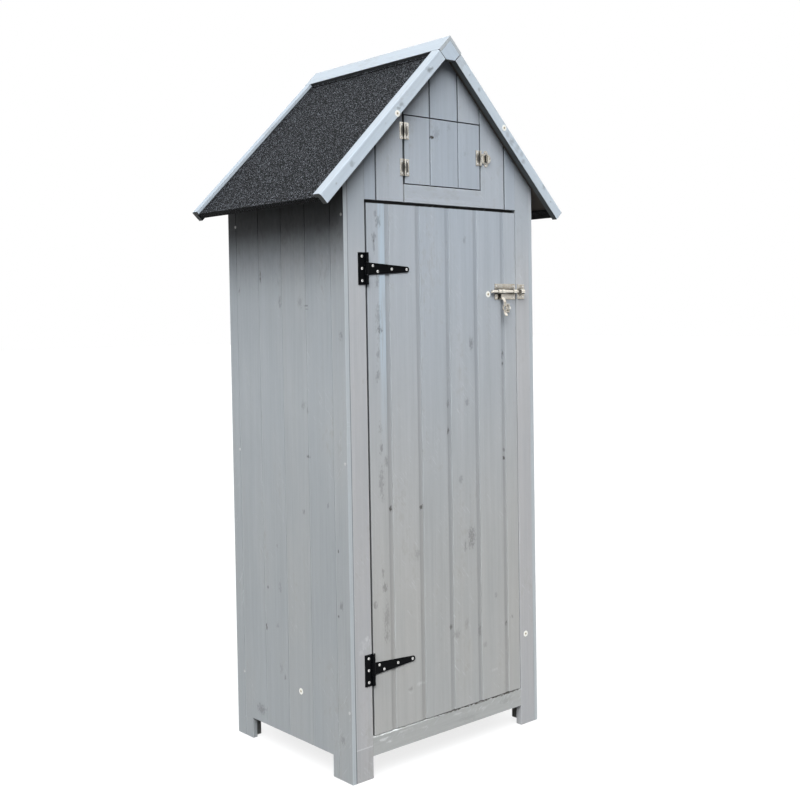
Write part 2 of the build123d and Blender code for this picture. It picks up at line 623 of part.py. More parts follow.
def door():
    """Plank door with three ledges and two braces behind."""
    width = DOOR_X[1] - DOOR_X[0]
    boards = plank_row(row_widths(width, DOOR_FIRST, DOOR_PITCH), DOOR_Z[1] - DOOR_Z[0], LEAF_T, DOOR_CHANNEL)
    boards = [Pos(DOOR_X[0], FRONT, DOOR_Z[0]) * board for board in boards]
    holes = [*T_STRAP_SCREWS.holes, *BOLT_SCREWS.holes, *STAPLE_SCREWS.holes]
    save("door_boards", *cut(boards, *holes))
    y = (FRONT + LEAF_T, FRONT + LEAF_T + LEDGE_T)
    x = (DOOR_X[0] + LEDGE_INSET, DOOR_X[1] - LEDGE_INSET)
    mids = [HINGE_Z[0], sum(HINGE_Z) / 2, HINGE_Z[1]]
    ledges = [block(x, y, (z - LEDGE_H / 2, z + LEDGE_H / 2)) for z in mids]
    save("door_ledges", *ledges)
    braces = []
    for low, high in zip(mids, mids[1:]):
        bottom, top = low + LEDGE_H / 2, high - LEDGE_H / 2
        outline = [(x[0], bottom), (x[0] + BRACE_W, bottom), (x[1], top), (x[1] - BRACE_W, top)]
        braces.append(prism([(px, y[0], pz) for px, pz in outline], (0, LEDGE_T, 0)))
    save("door_braces", *braces)


def barrel(pin, radius, pin_radius, z):
    """Upright hinge knuckle round a pin."""
    tube = Pos(*pin, z[0]) * Cylinder(radius, z[1] - z[0], align=UP)
    bore = Pos(*pin, z[0] - PAST) * Cylinder(pin_radius + PIN_FIT, z[1] - z[0] + 2 * PAST, align=UP)
    return tube, bore


def pin_rod(pin, radius, z, height):
    """Hinge pin as long as its hinge is high."""
    return Pos(*pin, z - height / 2) * Cylinder(radius, height, align=UP)


def outer_leaf(pin, z, reach, height, middle, plate_t, barrel_r, pin_r, holes):
    """Leaf with the two outer knuckles; it lies on the face, on the side where reach points."""
    side = 1 if reach > 0 else -1
    y = (FRONT - plate_t, FRONT)
    clear = side * (barrel_r + KNUCKLE_GAP)
    plate = block(sorted((pin[0] + clear, pin[0] + reach)), y, (z - height / 2, z + height / 2))
    bores = []
    for low, high in ((-height / 2, -middle / 2 - KNUCKLE_GAP), (middle / 2 + KNUCKLE_GAP, height / 2)):
        tube, bore = barrel(pin, barrel_r, pin_r, (z + low, z + high))
        plate += tube + block(sorted((pin[0], pin[0] + clear)), y, (z + low, z + high))
        bores.append(bore)
    return plate - [*bores, *holes]


def inner_leaf(pin, z, outline, middle, plate_t, barrel_r, pin_r, holes):
    """Leaf with the middle knuckle and a plate of the given outline, from the pin."""
    points = [(pin[0] + dx, FRONT, z + dz) for dx, dz in outline]
    side = 1 if outline[0][0] > 0 else -1
    reach = pin[0] + side * (barrel_r + KNUCKLE_GAP)
    tube, bore = barrel(pin, barrel_r, pin_r, (z - middle / 2, z + middle / 2))
    root = block(sorted((pin[0], reach)), (FRONT - plate_t, FRONT), (z - middle / 2, z + middle / 2))
    return prism(points, (0, -plate_t, 0)) + root + tube - [bore, *holes]


def t_hinges():
    """Door hinges: a leaf on the stile, a tapered strap on the door and a pin through both."""
    for name, z in zip(("lower", "upper"), HINGE_Z):
        leaf = outer_leaf(T_PIN, z, -T_LEAF_W, T_LEAF_H, T_STRAP_ROOT, T_PLATE, T_BARREL_R, T_PIN_R,
                          T_LEAF_SCREWS.holes)
        save(f"hinge_leaf_{name}", leaf)
        start, nose = T_BARREL_R + KNUCKLE_GAP, T_STRAP_L - T_STRAP_TIP / 2
        root, tip = T_STRAP_ROOT / 2, T_STRAP_TIP / 2
        taper = [(start, -root), (nose, -tip), (nose, tip), (start, root)]
        strap = inner_leaf(T_PIN, z, taper, T_STRAP_ROOT, T_PLATE, T_BARREL_R, T_PIN_R, [])
        strap += Pos(T_PIN[0] + nose, FRONT, z) * FACING["front"] * Cylinder(tip, T_PLATE, align=UP)
        save(f"hinge_strap_{name}", strap - T_STRAP_SCREWS.holes)


def hatch():
    """Small plank door in the gable, its battens and its two butt hinges."""
    joint = [HATCH_X + GABLE_SHIFT - GABLE_BOARD / 2, GABLE_BOARD]
    boards = plank_row([*joint, HATCH_W - sum(joint)], HATCH_H, LEAF_T, GABLE_CHANNEL)
    boards = [Pos(-HATCH_X, FRONT, HATCH_Z) * board for board in boards]
    save("hatch_boards", *cut(boards, *BUTT_FLAP_SCREWS.holes, *HASP_SCREWS.holes))
    y = (FRONT + LEAF_T, FRONT + LEAF_T + LEDGE_T)
    x = (-HATCH_X + HATCH_BATTEN_INSET, HATCH_X - HATCH_BATTEN_INSET)
    half = HATCH_BATTEN_H / 2
    save("hatch_battens", *[block(x, y, (z - half, z + half)) for z in BUTT_Z])
    leaves, flaps = [], []
    start, half = BUTT_BARREL_R + KNUCKLE_GAP, BUTT_H / 2
    outline = [(start, -half), (BUTT_LEAF_W, -half), (BUTT_LEAF_W, half), (start, half)]
    for z in BUTT_Z:
        leaves.append(outer_leaf(BUTT_PIN, z, -BUTT_LEAF_W, BUTT_H, BUTT_KNUCKLE, BUTT_PLATE,
                                 BUTT_BARREL_R, BUTT_PIN_R, BUTT_LEAF_SCREWS.holes))
        flaps.append(inner_leaf(BUTT_PIN, z, outline, BUTT_KNUCKLE, BUTT_PLATE, BUTT_BARREL_R,
                                BUTT_PIN_R, BUTT_FLAP_SCREWS.holes))
    save("hatch_hinge_leaves", *leaves)
    save("hatch_hinge_flaps", *flaps)


def hinge_pins():
    """Pins of the door's and the hatch's hinges."""
    door_pins = [pin_rod(T_PIN, T_PIN_R, z, T_LEAF_H) for z in HINGE_Z]
    hatch_pins = [pin_rod(BUTT_PIN, BUTT_PIN_R, z, BUTT_H) for z in BUTT_Z]
    save("hinge_pins", *door_pins, *hatch_pins)


def guide(x, radius):
    """Strap bent over the bolt's rod, and the bore that the rod runs in."""
    length = x[1] - x[0]
    foot = FRONT - BOLT_PLATE_T
    outer = radius + STRAP_T
    hump = Pos(x[0], BOLT_Y, BOLT_Z) * Rot(0, 90, 0) * Cylinder(outer, length, align=UP)
    hump += block(x, (BOLT_Y, foot), (BOLT_Z - outer, BOLT_Z + outer))
    past = (x[0] - PAST, x[1] + PAST)
    bore = Pos(past[0], BOLT_Y, BOLT_Z) * Rot(0, 90, 0) * Cylinder(radius, past[1] - past[0], align=UP)
    bore += block(past, (BOLT_Y, foot), (BOLT_Z - radius, BOLT_Z + radius))
    return hump, bore


def bolt_plates():
    """Bolt plate with two guides on the door, and the keeper on the stile."""
    z = (BOLT_Z - BOLT_PLATE_H / 2, BOLT_Z + BOLT_PLATE_H / 2)
    plate = block(BOLT_X, (FRONT - BOLT_PLATE_T, FRONT), z)
    bores = []
    for start in (BOLT_X[0] + STRAP_INSET, BOLT_X[1] - STRAP_INSET - STRAP_W):
        hump, bore = guide((start, start + STRAP_W), BOLT_ROD_R + BOLT_ROD_FIT)
        plate += hump
        bores.append(bore)
    save("bolt_plate", plate - [*bores, *BOLT_SCREWS.holes])
    x = (OPEN_X + KEEPER_EDGE, OPEN_X + KEEPER_EDGE + KEEPER_W)
    keeper = block(x, (FRONT - BOLT_PLATE_T, FRONT), (BOLT_Z - KEEPER_H / 2, BOLT_Z + KEEPER_H / 2))
    hump, bore = guide((x[0] + STRAP_INSET, x[0] + STRAP_INSET + KEEPER_STRAP), BOLT_ROD_R + KEEPER_FIT)
    save("bolt_keeper", keeper + hump - [bore, *KEEPER_SCREWS.holes])


def bolt_rod():
    """Round rod with two collars that carry the lever along."""
    rod = Pos(ROD_X, BOLT_Y, BOLT_Z) * Rot(0, 90, 0) * Cylinder(BOLT_ROD_R, BOLT_ROD_L, align=UP)
    rod = fillet(rod.edges(), BOLT_ROD_ROUND)
    reach = LEVER_W / 2 + LEVER_SIDE
    for start in (LEVER_X - reach - COLLAR_W, LEVER_X + reach):
        rod += Pos(start, BOLT_Y, BOLT_Z) * Rot(0, 90, 0) * Cylinder(COLLAR_R, COLLAR_W, align=UP)
    save("bolt_rod", rod)


def ribbon(points, thickness):
    """Outline of a bent strip, from the line that runs along its middle."""
    path = [Vector(*point) for point in points]
    legs = [(end - start).normalized() for start, end in zip(path, path[1:])]
    near, far = [], []
    for i, point in enumerate(path):
        before, after = legs[max(i - 1, 0)], legs[min(i, len(legs) - 1)]
        bend = (before + after).normalized()
        shift = Vector(-bend.Y, bend.X) * (thickness / 2 / bend.dot(after))
        near.append(point + shift)
        far.append(point - shift)
    return near + far[::-1]


def bolt_lever():
    """Lever rolled round the rod, with a stepped strip and a padlock eye."""
    ring_r = BOLT_ROD_R + PIN_FIT
    x = LEVER_X - LEVER_W / 2
    turn = Pos(x, BOLT_Y, BOLT_Z) * Rot(0, 90, 0)
    path = [(0, -ring_r - LEVER_T / 2), (0, -LEVER_NECK), (-LEVER_STEP, -LEVER_KNEE)]
    path += [(-LEVER_STEP, -LEVER_FOOT), (-LEVER_TIP_OUT, -LEVER_TIP)]
    outline = [(x, BOLT_Y + point.X, BOLT_Z + point.Y) for point in ribbon(path, LEVER_T)]
    lever = prism(outline, (LEVER_W, 0, 0)) + turn * Cylinder(ring_r + LEVER_T, LEVER_W, align=UP)
    disc = Pos(LEVER_X, BOLT_Y - LEVER_STEP + LEVER_T / 2, BOLT_Z - EYE_Z) * FACING["front"]
    lever += disc * Cylinder(EYE_R, LEVER_T, align=UP)
    hole = disc * (Pos(0, 0, -PAST) * Cylinder(EYE_HOLE_R, LEVER_T + 2 * PAST, align=UP))
    bore = turn * (Pos(0, 0, -PAST) * Cylinder(ring_r, LEVER_W + 2 * PAST, align=UP))
    save("bolt_lever", lever - [hole, bore])


def bolt_staple():
    """Small plate with a wire loop behind the place of the lever's eye when the bolt is shot."""
    z = BOLT_Z - EYE_Z
    foot = FRONT - BOLT_PLATE_T
    x = (STAPLE_X - STAPLE_W / 2, STAPLE_X + STAPLE_W / 2)
    plate = block(x, (foot, FRONT), (z - STAPLE_H / 2, z + STAPLE_H / 2))
    bend = foot - STAPLE_LEG
    for dz in (-STAPLE_LOOP_R, STAPLE_LOOP_R):
        leg = Cylinder(STAPLE_WIRE_R, STAPLE_LEG, align=UP)
        plate += Pos(STAPLE_X, foot, z + dz) * FACING["front"] * leg
    wire = Pos(STAPLE_X, bend, z + STAPLE_LOOP_R) * Rot(90, 0, 0) * Circle(STAPLE_WIRE_R)
    plate += revolve(wire, Axis((STAPLE_X, bend, z), (1, 0, 0)), 180)
    save("bolt_staple", plate - STAPLE_SCREWS.holes)


def hasp():
    """Hasp on the hatch: leaf, pin and slotted flap; turn staple on the gable."""
    leaf = outer_leaf(HASP_PIN, HASP_Z, -HASP_LEAF_W, HASP_H, HASP_KNUCKLE, HASP_PLATE, HASP_BARREL_R,
                      HASP_PIN_R, HASP_SCREWS.holes)
    save("hasp_leaf", leaf)
    save("hasp_pin", pin_rod(HASP_PIN, HASP_PIN_R, HASP_Z, HASP_H))
    foot = FRONT - TURN_BASE_T - KNUCKLE_GAP
    y = (foot - HASP_PLATE, foot)
    half = HASP_FLAP_H / 2
    start, nose = HASP_PIN[0] + HASP_BARREL_R + KNUCKLE_GAP, HASP_PIN[0] + HASP_FLAP_L - half
    knuckle_z = (HASP_Z - HASP_KNUCKLE / 2, HASP_Z + HASP_KNUCKLE / 2)
    tube, bore = barrel(HASP_PIN, HASP_BARREL_R, HASP_PIN_R, knuckle_z)
    flap = block((start, nose), y, (HASP_Z - half, HASP_Z + half))
    flap += Pos(nose, foot, HASP_Z) * FACING["front"] * Cylinder(half, HASP_PLATE, align=UP)
    flap += tube + block((HASP_PIN[0], start), y, knuckle_z)
    slot = Pos(TURN_X, foot, HASP_Z) * Box(HASP_SLOT_W, 2 * (HASP_PLATE + PAST), HASP_SLOT_H)
    save("hasp_flap", flap - [bore, fillet(slot.edges().filter_by(Axis.Y), SLOT_ROUND)])
    place = Pos(TURN_X, FRONT, HASP_Z) * FACING["front"]
    base = extrude(SlotOverall(TURN_BASE_H, TURN_BASE_W, rotation=90), TURN_BASE_T)
    save("turn_base", *cut([place * base], *TURN_SCREWS.holes))
    knob = Pos(0, 0, TURN_BASE_T) * Cylinder(TURN_NECK_R, TURN_NECK_L, align=UP)
    head = Pos(0, 0, TURN_BASE_T + TURN_NECK_L) * Box(TURN_HEAD_W, TURN_HEAD_L, TURN_HEAD_T, align=UP)
    knob += fillet(head.edges().filter_by(Axis.Z), TURN_ROUND)
    grip_foot = TURN_BASE_T + TURN_NECK_L + TURN_HEAD_T
    knob += Pos(0, 0, grip_foot) * Box(TURN_GRIP_T, TURN_HEAD_L, TURN_GRIP_H, align=UP)
    save("turn_knob", place * knob)


def fasteners():
    """Screws, grouped by the body that they hold on to."""
    save("frame_screws", *T_LEAF_SCREWS.screws, *KEEPER_SCREWS.screws, *BUTT_LEAF_SCREWS.screws,
         *TURN_SCREWS.screws)
    save("wall_screws", *LEFT_SCREWS.screws, *RIGHT_SCREWS.screws)
    save("door_screws", *T_STRAP_SCREWS.screws, *BOLT_SCREWS.screws, *STAPLE_SCREWS.screws)
    save("hatch_screws", *BUTT_FLAP_SCREWS.screws, *HASP_SCREWS.screws)


side_walls()
back_wall()
corner_posts()
front_frame()
gable()
floor_and_shelves()
roof_timbers()
roof_slope("left", -1)
roof_slope("right", 1)
ridge_felt()
roof_trim()
door()
t_hinges()
hatch()
hinge_pins()
bolt_plates()
bolt_rod()
bolt_lever()
bolt_staple()
hasp()
fasteners()
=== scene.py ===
# %% [markdown]
# # A narrow garden tool shed
#
# The shed is a tall, thin box of fir planks with a steep felted roof, a plank door on black
# hinges, and a small hatch in the gable. The shapes come from a finished CAD model in metres, so
# this lesson is about dressing that model: rounding its arrises, laying wood grain along every
# board, and mixing paint, felt and metal finishes that hold up close to.

# %% Load the model
import json
import random
from math import radians

import bmesh
import bpy
from mathutils import Matrix, Vector


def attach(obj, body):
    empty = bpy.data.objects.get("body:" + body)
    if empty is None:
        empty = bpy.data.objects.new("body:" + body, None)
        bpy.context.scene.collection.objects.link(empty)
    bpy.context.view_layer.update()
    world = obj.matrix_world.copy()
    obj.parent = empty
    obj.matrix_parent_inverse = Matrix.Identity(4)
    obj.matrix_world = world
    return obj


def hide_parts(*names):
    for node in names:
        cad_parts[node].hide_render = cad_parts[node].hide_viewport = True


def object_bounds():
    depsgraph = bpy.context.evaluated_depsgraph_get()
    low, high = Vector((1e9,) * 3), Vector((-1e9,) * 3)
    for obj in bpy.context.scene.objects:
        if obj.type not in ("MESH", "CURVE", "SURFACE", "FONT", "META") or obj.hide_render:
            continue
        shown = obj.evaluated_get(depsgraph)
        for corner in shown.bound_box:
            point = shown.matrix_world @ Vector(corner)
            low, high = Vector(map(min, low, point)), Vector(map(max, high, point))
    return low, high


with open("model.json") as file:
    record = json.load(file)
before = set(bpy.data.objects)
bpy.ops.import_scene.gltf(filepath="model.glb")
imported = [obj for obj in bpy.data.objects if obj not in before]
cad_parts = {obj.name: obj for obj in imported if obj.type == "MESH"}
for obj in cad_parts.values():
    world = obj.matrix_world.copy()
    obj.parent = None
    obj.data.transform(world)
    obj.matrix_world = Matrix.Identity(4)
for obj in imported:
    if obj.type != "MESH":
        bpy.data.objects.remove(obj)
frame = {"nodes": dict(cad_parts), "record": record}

cad_box = [list(corner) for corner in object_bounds()]
record = frame["record"]
body_of = {node: body for body, nodes in record["behaviour"]["bodies"].items() for node in nodes}

# %% [markdown]
# ## Boards with soft edges
#
# A sawn and planed board is never razor sharp: its arrises are rubbed down by about half a
# millimetre, and that thin rounding is what catches the light along every plank. The CAD meshes
# are loose triangles with sharp edges. One could give each a live Bevel modifier, but loose
# triangles don't share edges, so nothing would bevel. Here a copy of a node is welded one solid at
# a time, its flat triangles are dissolved into whole faces, and only its outer edges are bevelled.
#
# Neighbouring boards touch, so welding everything at once would fuse them. A solid's triangles
# follow each other in the mesh, and a solid is complete when each edge has been met once in each
# direction. That is enough to tell the boards apart.


# %% Weld, dissolve and bevel a copy of a node
WELD = 2e-6


def solid_faces(mesh):
    """Lists of face numbers, one list for each closed solid in a mesh of loose triangles."""
    points = [tuple(round(c * 1e6) for c in vertex.co) for vertex in mesh.vertices]
    waiting, solids, current = set(), [], []
    for face in mesh.polygons:
        current.append(face.index)
        ring = [points[i] for i in face.vertices]
        for edge in zip(ring, ring[1:] + ring[:1]):
            if edge[::-1] in waiting:
                waiting.remove(edge[::-1])
            else:
                waiting.add(edge)
        if not waiting:
            solids.append(current)
            current = []
    return solids


def softened(node, rounding, shortest):
    """Copy of a CAD node with whole flat faces, and outer edges longer than shortest rounded."""
    mesh = frame["nodes"][node].data
    bm = bmesh.new()
    bm.from_mesh(mesh)
    bm.faces.ensure_lookup_table()
    solids = [[bm.faces[i] for i in faces] for faces in solid_faces(mesh)]
    for faces in solids:
        corners = list({vertex: None for face in faces for vertex in face.verts})
        bmesh.ops.remove_doubles(bm, verts=corners, dist=WELD)
    bmesh.ops.dissolve_limit(bm, angle_limit=radians(0.5), verts=bm.verts, edges=bm.edges)
    outer = [edge for edge in bm.edges if edge.is_manifold and edge.is_convex
             and edge.calc_length() > shortest and edge.calc_face_angle() > radians(30)]
    bmesh.ops.bevel(bm, geom=outer, offset=rounding, offset_type="OFFSET", affect="EDGES", segments=2,
                    profile=0.5, material=-1, clamp_overlap=True)
    return bm


def as_piece(name, bm, material, smooth=0):
    """Turn a bmesh into an object; faces that meet at less than smooth degrees are shaded as a curve."""
    mesh = bpy.data.meshes.new(name)
    bm.to_mesh(mesh)
    bm.free()
    if smooth:
        mesh.shade_smooth()
        mesh.set_sharp_from_angle(angle=radians(smooth))
    else:
        mesh.shade_flat()
    mesh.materials.append(material)
    piece = bpy.data.objects.new(name, mesh)
    bpy.context.scene.collection.objects.link(piece)
    return piece


def dress(node, bm, material, smooth=0):
    """Put a piece in the place of a CAD node."""
    piece = as_piece(node + ".dressed", bm, material, smooth)
    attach(piece, body_of[node])
    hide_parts(node)
    return piece


print("door solids:", len(solid_faces(frame["nodes"]["door_boards"].data)))

# %% [markdown]
# ## Grain that follows each board
#
# Grain runs along a board, whichever way the board lies: up the walls, across the rail, down the
# bargeboards. A pattern on plain object coordinates would run through all of them in one
# direction and carry on from one board to the next. So each board gets its own coordinates: its
# longest edge is the grain, its widest face is the front. They are stored on the mesh as an
# attribute, beside what a painter would notice: a random number for each board, whether a face is
# end grain, whether it is a sawn edge on the outline of the whole panel, and whether it lies in the
# channel of a joint, which takes dust and painted shade.


# %% Lay the grain
PANEL_EDGE = 0.001
CHANNEL_DEPTH = 0.0004


def boards_of(bm):
    """Groups of connected faces, in the order of the mesh."""
    met = set()
    for first in bm.faces:
        if first in met:
            continue
        met.add(first)
        board = [first]
        for face in board:
            for edge in face.edges:
                for other in edge.link_faces:
                    if other not in met:
                        met.add(other)
                        board.append(other)
        yield board


def lay_grain(bm, seed):
    """Store each board's coordinates (across, through, along), half width, number and kinds of faces."""
    dice = random.Random(seed)
    grain = bm.verts.layers.float_vector.new("grain")
    half, number, end, outline, channel = [bm.faces.layers.float.new(name) for name in (
        "half_width", "board", "end_grain", "outline", "channel")]
    low = [min(vertex.co[axis] for vertex in bm.verts) for axis in range(3)]
    high = [max(vertex.co[axis] for vertex in bm.verts) for axis in range(3)]
    boards = list(boards_of(bm))
    for board in boards:
        edges = {edge: None for face in board for edge in face.edges}
        longest = max(edges, key=lambda edge: edge.calc_length())
        along = (longest.verts[1].co - longest.verts[0].co).normalized()
        lengthwise = [face for face in board if abs(face.normal.dot(along)) < 0.1]
        through = max(lengthwise, key=lambda face: face.calc_area()).normal
        through = (through - along * through.dot(along)).normalized()
        across = along.cross(through)
        corners = {vertex: None for face in board for vertex in face.verts}
        sides = [vertex.co.dot(across) for vertex in corners]
        fronts = [vertex.co.dot(through) for vertex in corners]
        middle, depth = (min(sides) + max(sides)) / 2, (min(fronts) + max(fronts)) / 2
        thick = (max(fronts) - min(fronts)) / 2
        for vertex in corners:
            at = vertex.co
            vertex[grain] = (at.dot(across) - middle, at.dot(through) - depth, at.dot(along))
        mark = dice.random()
        for face in board:
            flat = face.normal.dot(through)
            centre = face.calc_center_median()
            face[half] = (max(sides) - min(sides)) / 2
            face[number] = mark
            face[end] = abs(face.normal.dot(along)) > 0.5
            if face[end] or abs(face.normal.dot(across)) > 0.9:
                inset = min(min(centre[i] - low[i], high[i] - centre[i]) for i in (0, 2))
                face[outline] = inset < PANEL_EDGE
                face[channel] = len(boards) > 1 and not face[outline]
            else:
                sunk = thick - (centre.dot(through) - depth) * flat
                face[channel] = abs(flat) > 0.9 and sunk > CHANNEL_DEPTH
    return len(boards)


ARRIS = 0.0006
SHORTEST = 0.012
trial = softened("hatch_boards", ARRIS, SHORTEST)
print("grain laid along", lay_grain(trial, "trial"), "boards of the hatch")
trial.free()

# %% [markdown]
# ## Shader maths in plain Python
#
# A finish is a small calculation over the surface: so much base colour, a little darker along the
# grain, brown at a knot. Wiring that by hand takes dozens of Math nodes. A thin wrapper round a
# socket lets the calculation be written as an ordinary expression; each operator adds its node.


# %% A socket that can be added and multiplied
def feed(tree, slot, item):
    """Link a wrapped socket to an input, or set the input to a plain value."""
    if isinstance(item, Wire):
        tree.links.new(item.socket, slot)
    else:
        slot.default_value = item


class Wire:
    """An output socket that takes part in Python expressions."""

    def __init__(self, tree, socket):
        self.tree = tree
        self.socket = socket

    def math(self, operation, first, second):
        node = self.tree.nodes.new("ShaderNodeMath")
        node.operation = operation
        feed(self.tree, node.inputs[0], first)
        feed(self.tree, node.inputs[1], second)
        return Wire(self.tree, node.outputs[0])

    def __add__(self, other):
        return self.math("ADD", self, other)

    def __radd__(self, other):
        return self.math("ADD", other, self)

    def __sub__(self, other):
        return self.math("SUBTRACT", self, other)

    def __rsub__(self, other):
        return self.math("SUBTRACT", other, self)

    def __mul__(self, other):
        return self.math("MULTIPLY", self, other)

    def __rmul__(self, other):
        return self.math("MULTIPLY", other, self)

    def __gt__(self, other):
        return self.math("GREATER_THAN", self, other)

    def __abs__(self):
        return self.math("ABSOLUTE", self, 0.0)


# %% [markdown]
# ## A recipe of nodes
#
# Whatever isn't plain maths comes from one method. It adds a node of any kind, sets its settings
# first, and then fills or links its sockets. The nodes that are used again and again, such as a
# noise, a soft threshold or a mix of two colours, get short names, so that a finish reads like a
# list of what was put on.


# %% Recipe
class Recipe:
    """The nodes of one material or of the world."""

    def __init__(self, owner):
        owner.use_nodes = True
        self.owner = owner
        self.tree = owner.node_tree

    def node(self, kind, settings=None, inputs=None, out=0):
        node = self.tree.nodes.new("ShaderNode" + kind)
        for key, value in (settings or {}).items():
            setattr(node, key, value)
        for key, item in (inputs or {}).items():
            feed(self.tree, node.inputs[key], item)
        return Wire(self.tree, node.outputs[out])

    def attribute(self, name, out=2):
        return self.node("Attribute", {"attribute_name": name}, out=out)

    def place(self):
        """Where a point lies on the object, in metres."""
        return self.node("TexCoord", out="Object")

    def facing(self):
        """The three parts of the direction that a surface faces."""
        return self.axes(self.node("TexCoord", out="Normal"))

    def stretch(self, vector, scales):
        return self.node("VectorMath", {"operation": "MULTIPLY"}, {0: vector, 1: scales})

    def shift(self, vector, by):
        return self.node("VectorMath", {"operation": "ADD"}, {0: vector, 1: by})

    def away(self, place, centre, half):
        """How far a place lies from a centre, counted in half sizes: 1 on the outline of an oval."""
        off = self.stretch(self.shift(place, [-c for c in centre]), [1 / c for c in half])
        return self.node("VectorMath", {"operation": "LENGTH"}, {0: off}, out=1)

    def toward(self, vector, direction):
        """1 where a unit vector points in a direction, 0 at right angles to it."""
        return self.node("VectorMath", {"operation": "DOT_PRODUCT"}, {0: vector, 1: direction}, out=1)

    def noise(self, vector, detail=2.0, roughness=0.5, distortion=0.0):
        return self.node("TexNoise", {}, {"Vector": vector, "Scale": 1.0, "Detail": detail,
                                          "Roughness": roughness, "Distortion": distortion})

    def fade(self, value, low, high):
        """0 below low, 1 above high, smooth between; low may be the greater."""
        return self.node("MapRange", {"interpolation_type": "SMOOTHSTEP"},
                         {"Value": value, "From Min": low, "From Max": high})

    def mix(self, share, first, second):
        return self.node("Mix", {"data_type": "RGBA"}, {0: share, 6: first, 7: second}, out=2)

    def shade(self, colour, by):
        return self.node("VectorMath", {"operation": "SCALE"}, {0: colour, "Scale": by})

    def axes(self, vector):
        node = self.tree.nodes.new("ShaderNodeSeparateXYZ")
        self.tree.links.new(vector.socket, node.inputs[0])
        return [Wire(self.tree, socket) for socket in node.outputs]

    def bump(self, height, distance, strength=1.0):
        return self.node("Bump", {}, {"Strength": strength, "Distance": distance, "Height": height})

    def seen(self):
        """1 for rays from the camera, a mirror or glass, which see a white backdrop."""
        camera, mirror, glass = [self.node("LightPath", out=name) for name in (
            "Is Camera Ray", "Is Glossy Ray", "Is Transmission Ray")]
        return self.node("Math", {"operation": "MAXIMUM"}, {0: camera, 1: mirror + glass})

    def surface(self, shader, output="Material Output"):
        """Use a shader in the place of the usual one."""
        self.tree.links.new(shader.socket, self.tree.nodes[output].inputs["Surface"])
        return self.owner

    def finish(self, **sockets):
        for name, item in sockets.items():
            feed(self.tree, self.tree.nodes["Principled BSDF"].inputs[name.replace("_", " ")], item)
        print("finish", self.owner.name, "uses", len(self.tree.nodes), "nodes")
        return self.owner


def new_finish(name):
    return Recipe(bpy.data.materials.new(name))


def linear(red, green, blue):
    """Linear colour with alpha from the usual 0 to 255 values."""
    def one(value):
        share = value / 255
        return share / 12.92 if share <= 0.04045 else ((share + 0.055) / 1.055) ** 2.4
    return (one(red), one(green), one(blue), 1.0)


print("middle grey is", round(linear(128, 128, 128)[0], 3), "in linear light")

# %% [markdown]
# ## Thin paint over fir
#
# The boards are fir under one thin coat of grey-blue paint. The wood still shows: fine fibres,
# slow bands where summer wood was harder, grey smudges over knots, and rubbed edges where the
# coat is thinnest. Near the ground the colour turns warmer and a little darker. A photograph
# of a board wrapped round the model would repeat; noise stretched along the board's own
# coordinates doesn't, and it follows every board.
#
# Some knots, nicks and scratches are landmarks on the door, the walls and the trim. They are listed
# by place, in millimetres: across, up, half width, half height, and how dark they are. A scratch
# down to the pale primer has a number below nought. Along the rail's top edge, a dark line is a
# painted shadow of the gap under the door, and a pale line at its left end is chipped paint and a
# painted highlight. The faces that they lie on are read from the model.

# %% Landmarks in the wood
door_marks = [
    (-206, 1297, 8, 13, 0.36), (-214, 1314, 4, 8, 0.30), (-219, 1236, 3, 15, 0.34), (-98, 190, 16, 5, -0.24),
    (-128, 176, 9, 4, -0.20), (150, 168, 12, 4, -0.18),
    (-220, 1258, 7, 10, 0.40), (-211, 1156, 6, 16, 0.30), (-209, 1070, 8, 42, 0.26), (-204, 1045, 7, 9, 0.42),
    (-211, 990, 5, 14, 0.32), (-212, 940, 6, 16, 0.34), (-209, 816, 5, 13, 0.36), (-206, 770, 5, 16, 0.38),
    (-191, 734, 7, 14, 0.30), (-207, 690, 8, 36, 0.30), (-202, 442, 7, 12, 0.36), (-208, 475, 4, 14, 0.30),
    (-232, 405, 7, 8, 0.34), (-199, 365, 9, 34, 0.24), (-199, 324, 8, 11, 0.30), (66, 1263, 6, 11, 0.26),
    (83, 1006, 8, 17, 0.40), (68, 862, 7, 12, 0.28), (5, 859, 6, 10, 0.32), (194, 974, 4, 11, 0.62),
    (194, 951, 4, 6, 0.75), (-180, 625, 5, 8, 0.85), (-86, 616, 5, 7, 0.80), (3, 793, 4, 9, 0.70),
    (195, 730, 5, 6, 0.45), (195, 708, 5, 5, 0.80), (77, 520, 12, 30, 0.40), (55, 499, 4, 16, 0.34),
    (-102, 505, 10, 12, 0.20), (43, 669, 7, 10, 0.26), (6, 306, 7, 8, 0.55), (24, 285, 11, 12, 0.26),
    (196, 280, 5, 6, 0.70), (216, 294, 5, 6, 0.40), (159, 360, 6, 8, 0.24), (101, 277, 6, 14, 0.28),
    (56, 305, 6, 16, 0.20), (-128, 182, 6, 7, 0.28), (118, 239, 7, 7, 0.20),
]
wall_marks = [
    (101, 1178, 4, 17, 0.75), (200, 1147, 4, 9, 0.45), (17, 1116, 6, 14, 0.34), (-70, 1114, 9, 14, 0.22),
    (-95, 1104, 8, 2, 0.45), (-95, 1096, 8, 2, 0.40), (-229, 1033, 7, 12, 0.30), (-93, 746, 7, 4, 0.55),
    (-76, 869, 8, 10, 0.26), (-92, 854, 5, 9, 0.24), (-205, 536, 4, 4, 0.80), (-69, 612, 5, 6, 0.34),
    (-168, 638, 4, 6, 0.30), (49, 514, 5, 8, 0.22), (104, 302, 3, 8, 0.80), (-214, 411, 8, 10, 0.34),
    (38, 412, 6, 16, 0.22), (-202, 384, 3, 3, 0.75), (133, 86, 18, 14, 0.40), (38, 210, 7, 11, 0.22),
    (24, 190, 4, 6, 0.42), (55, 313, 6, 7, 0.20), (-211, 97, 9, 14, 0.28), (93, 403, 3, 4, 0.60),
]
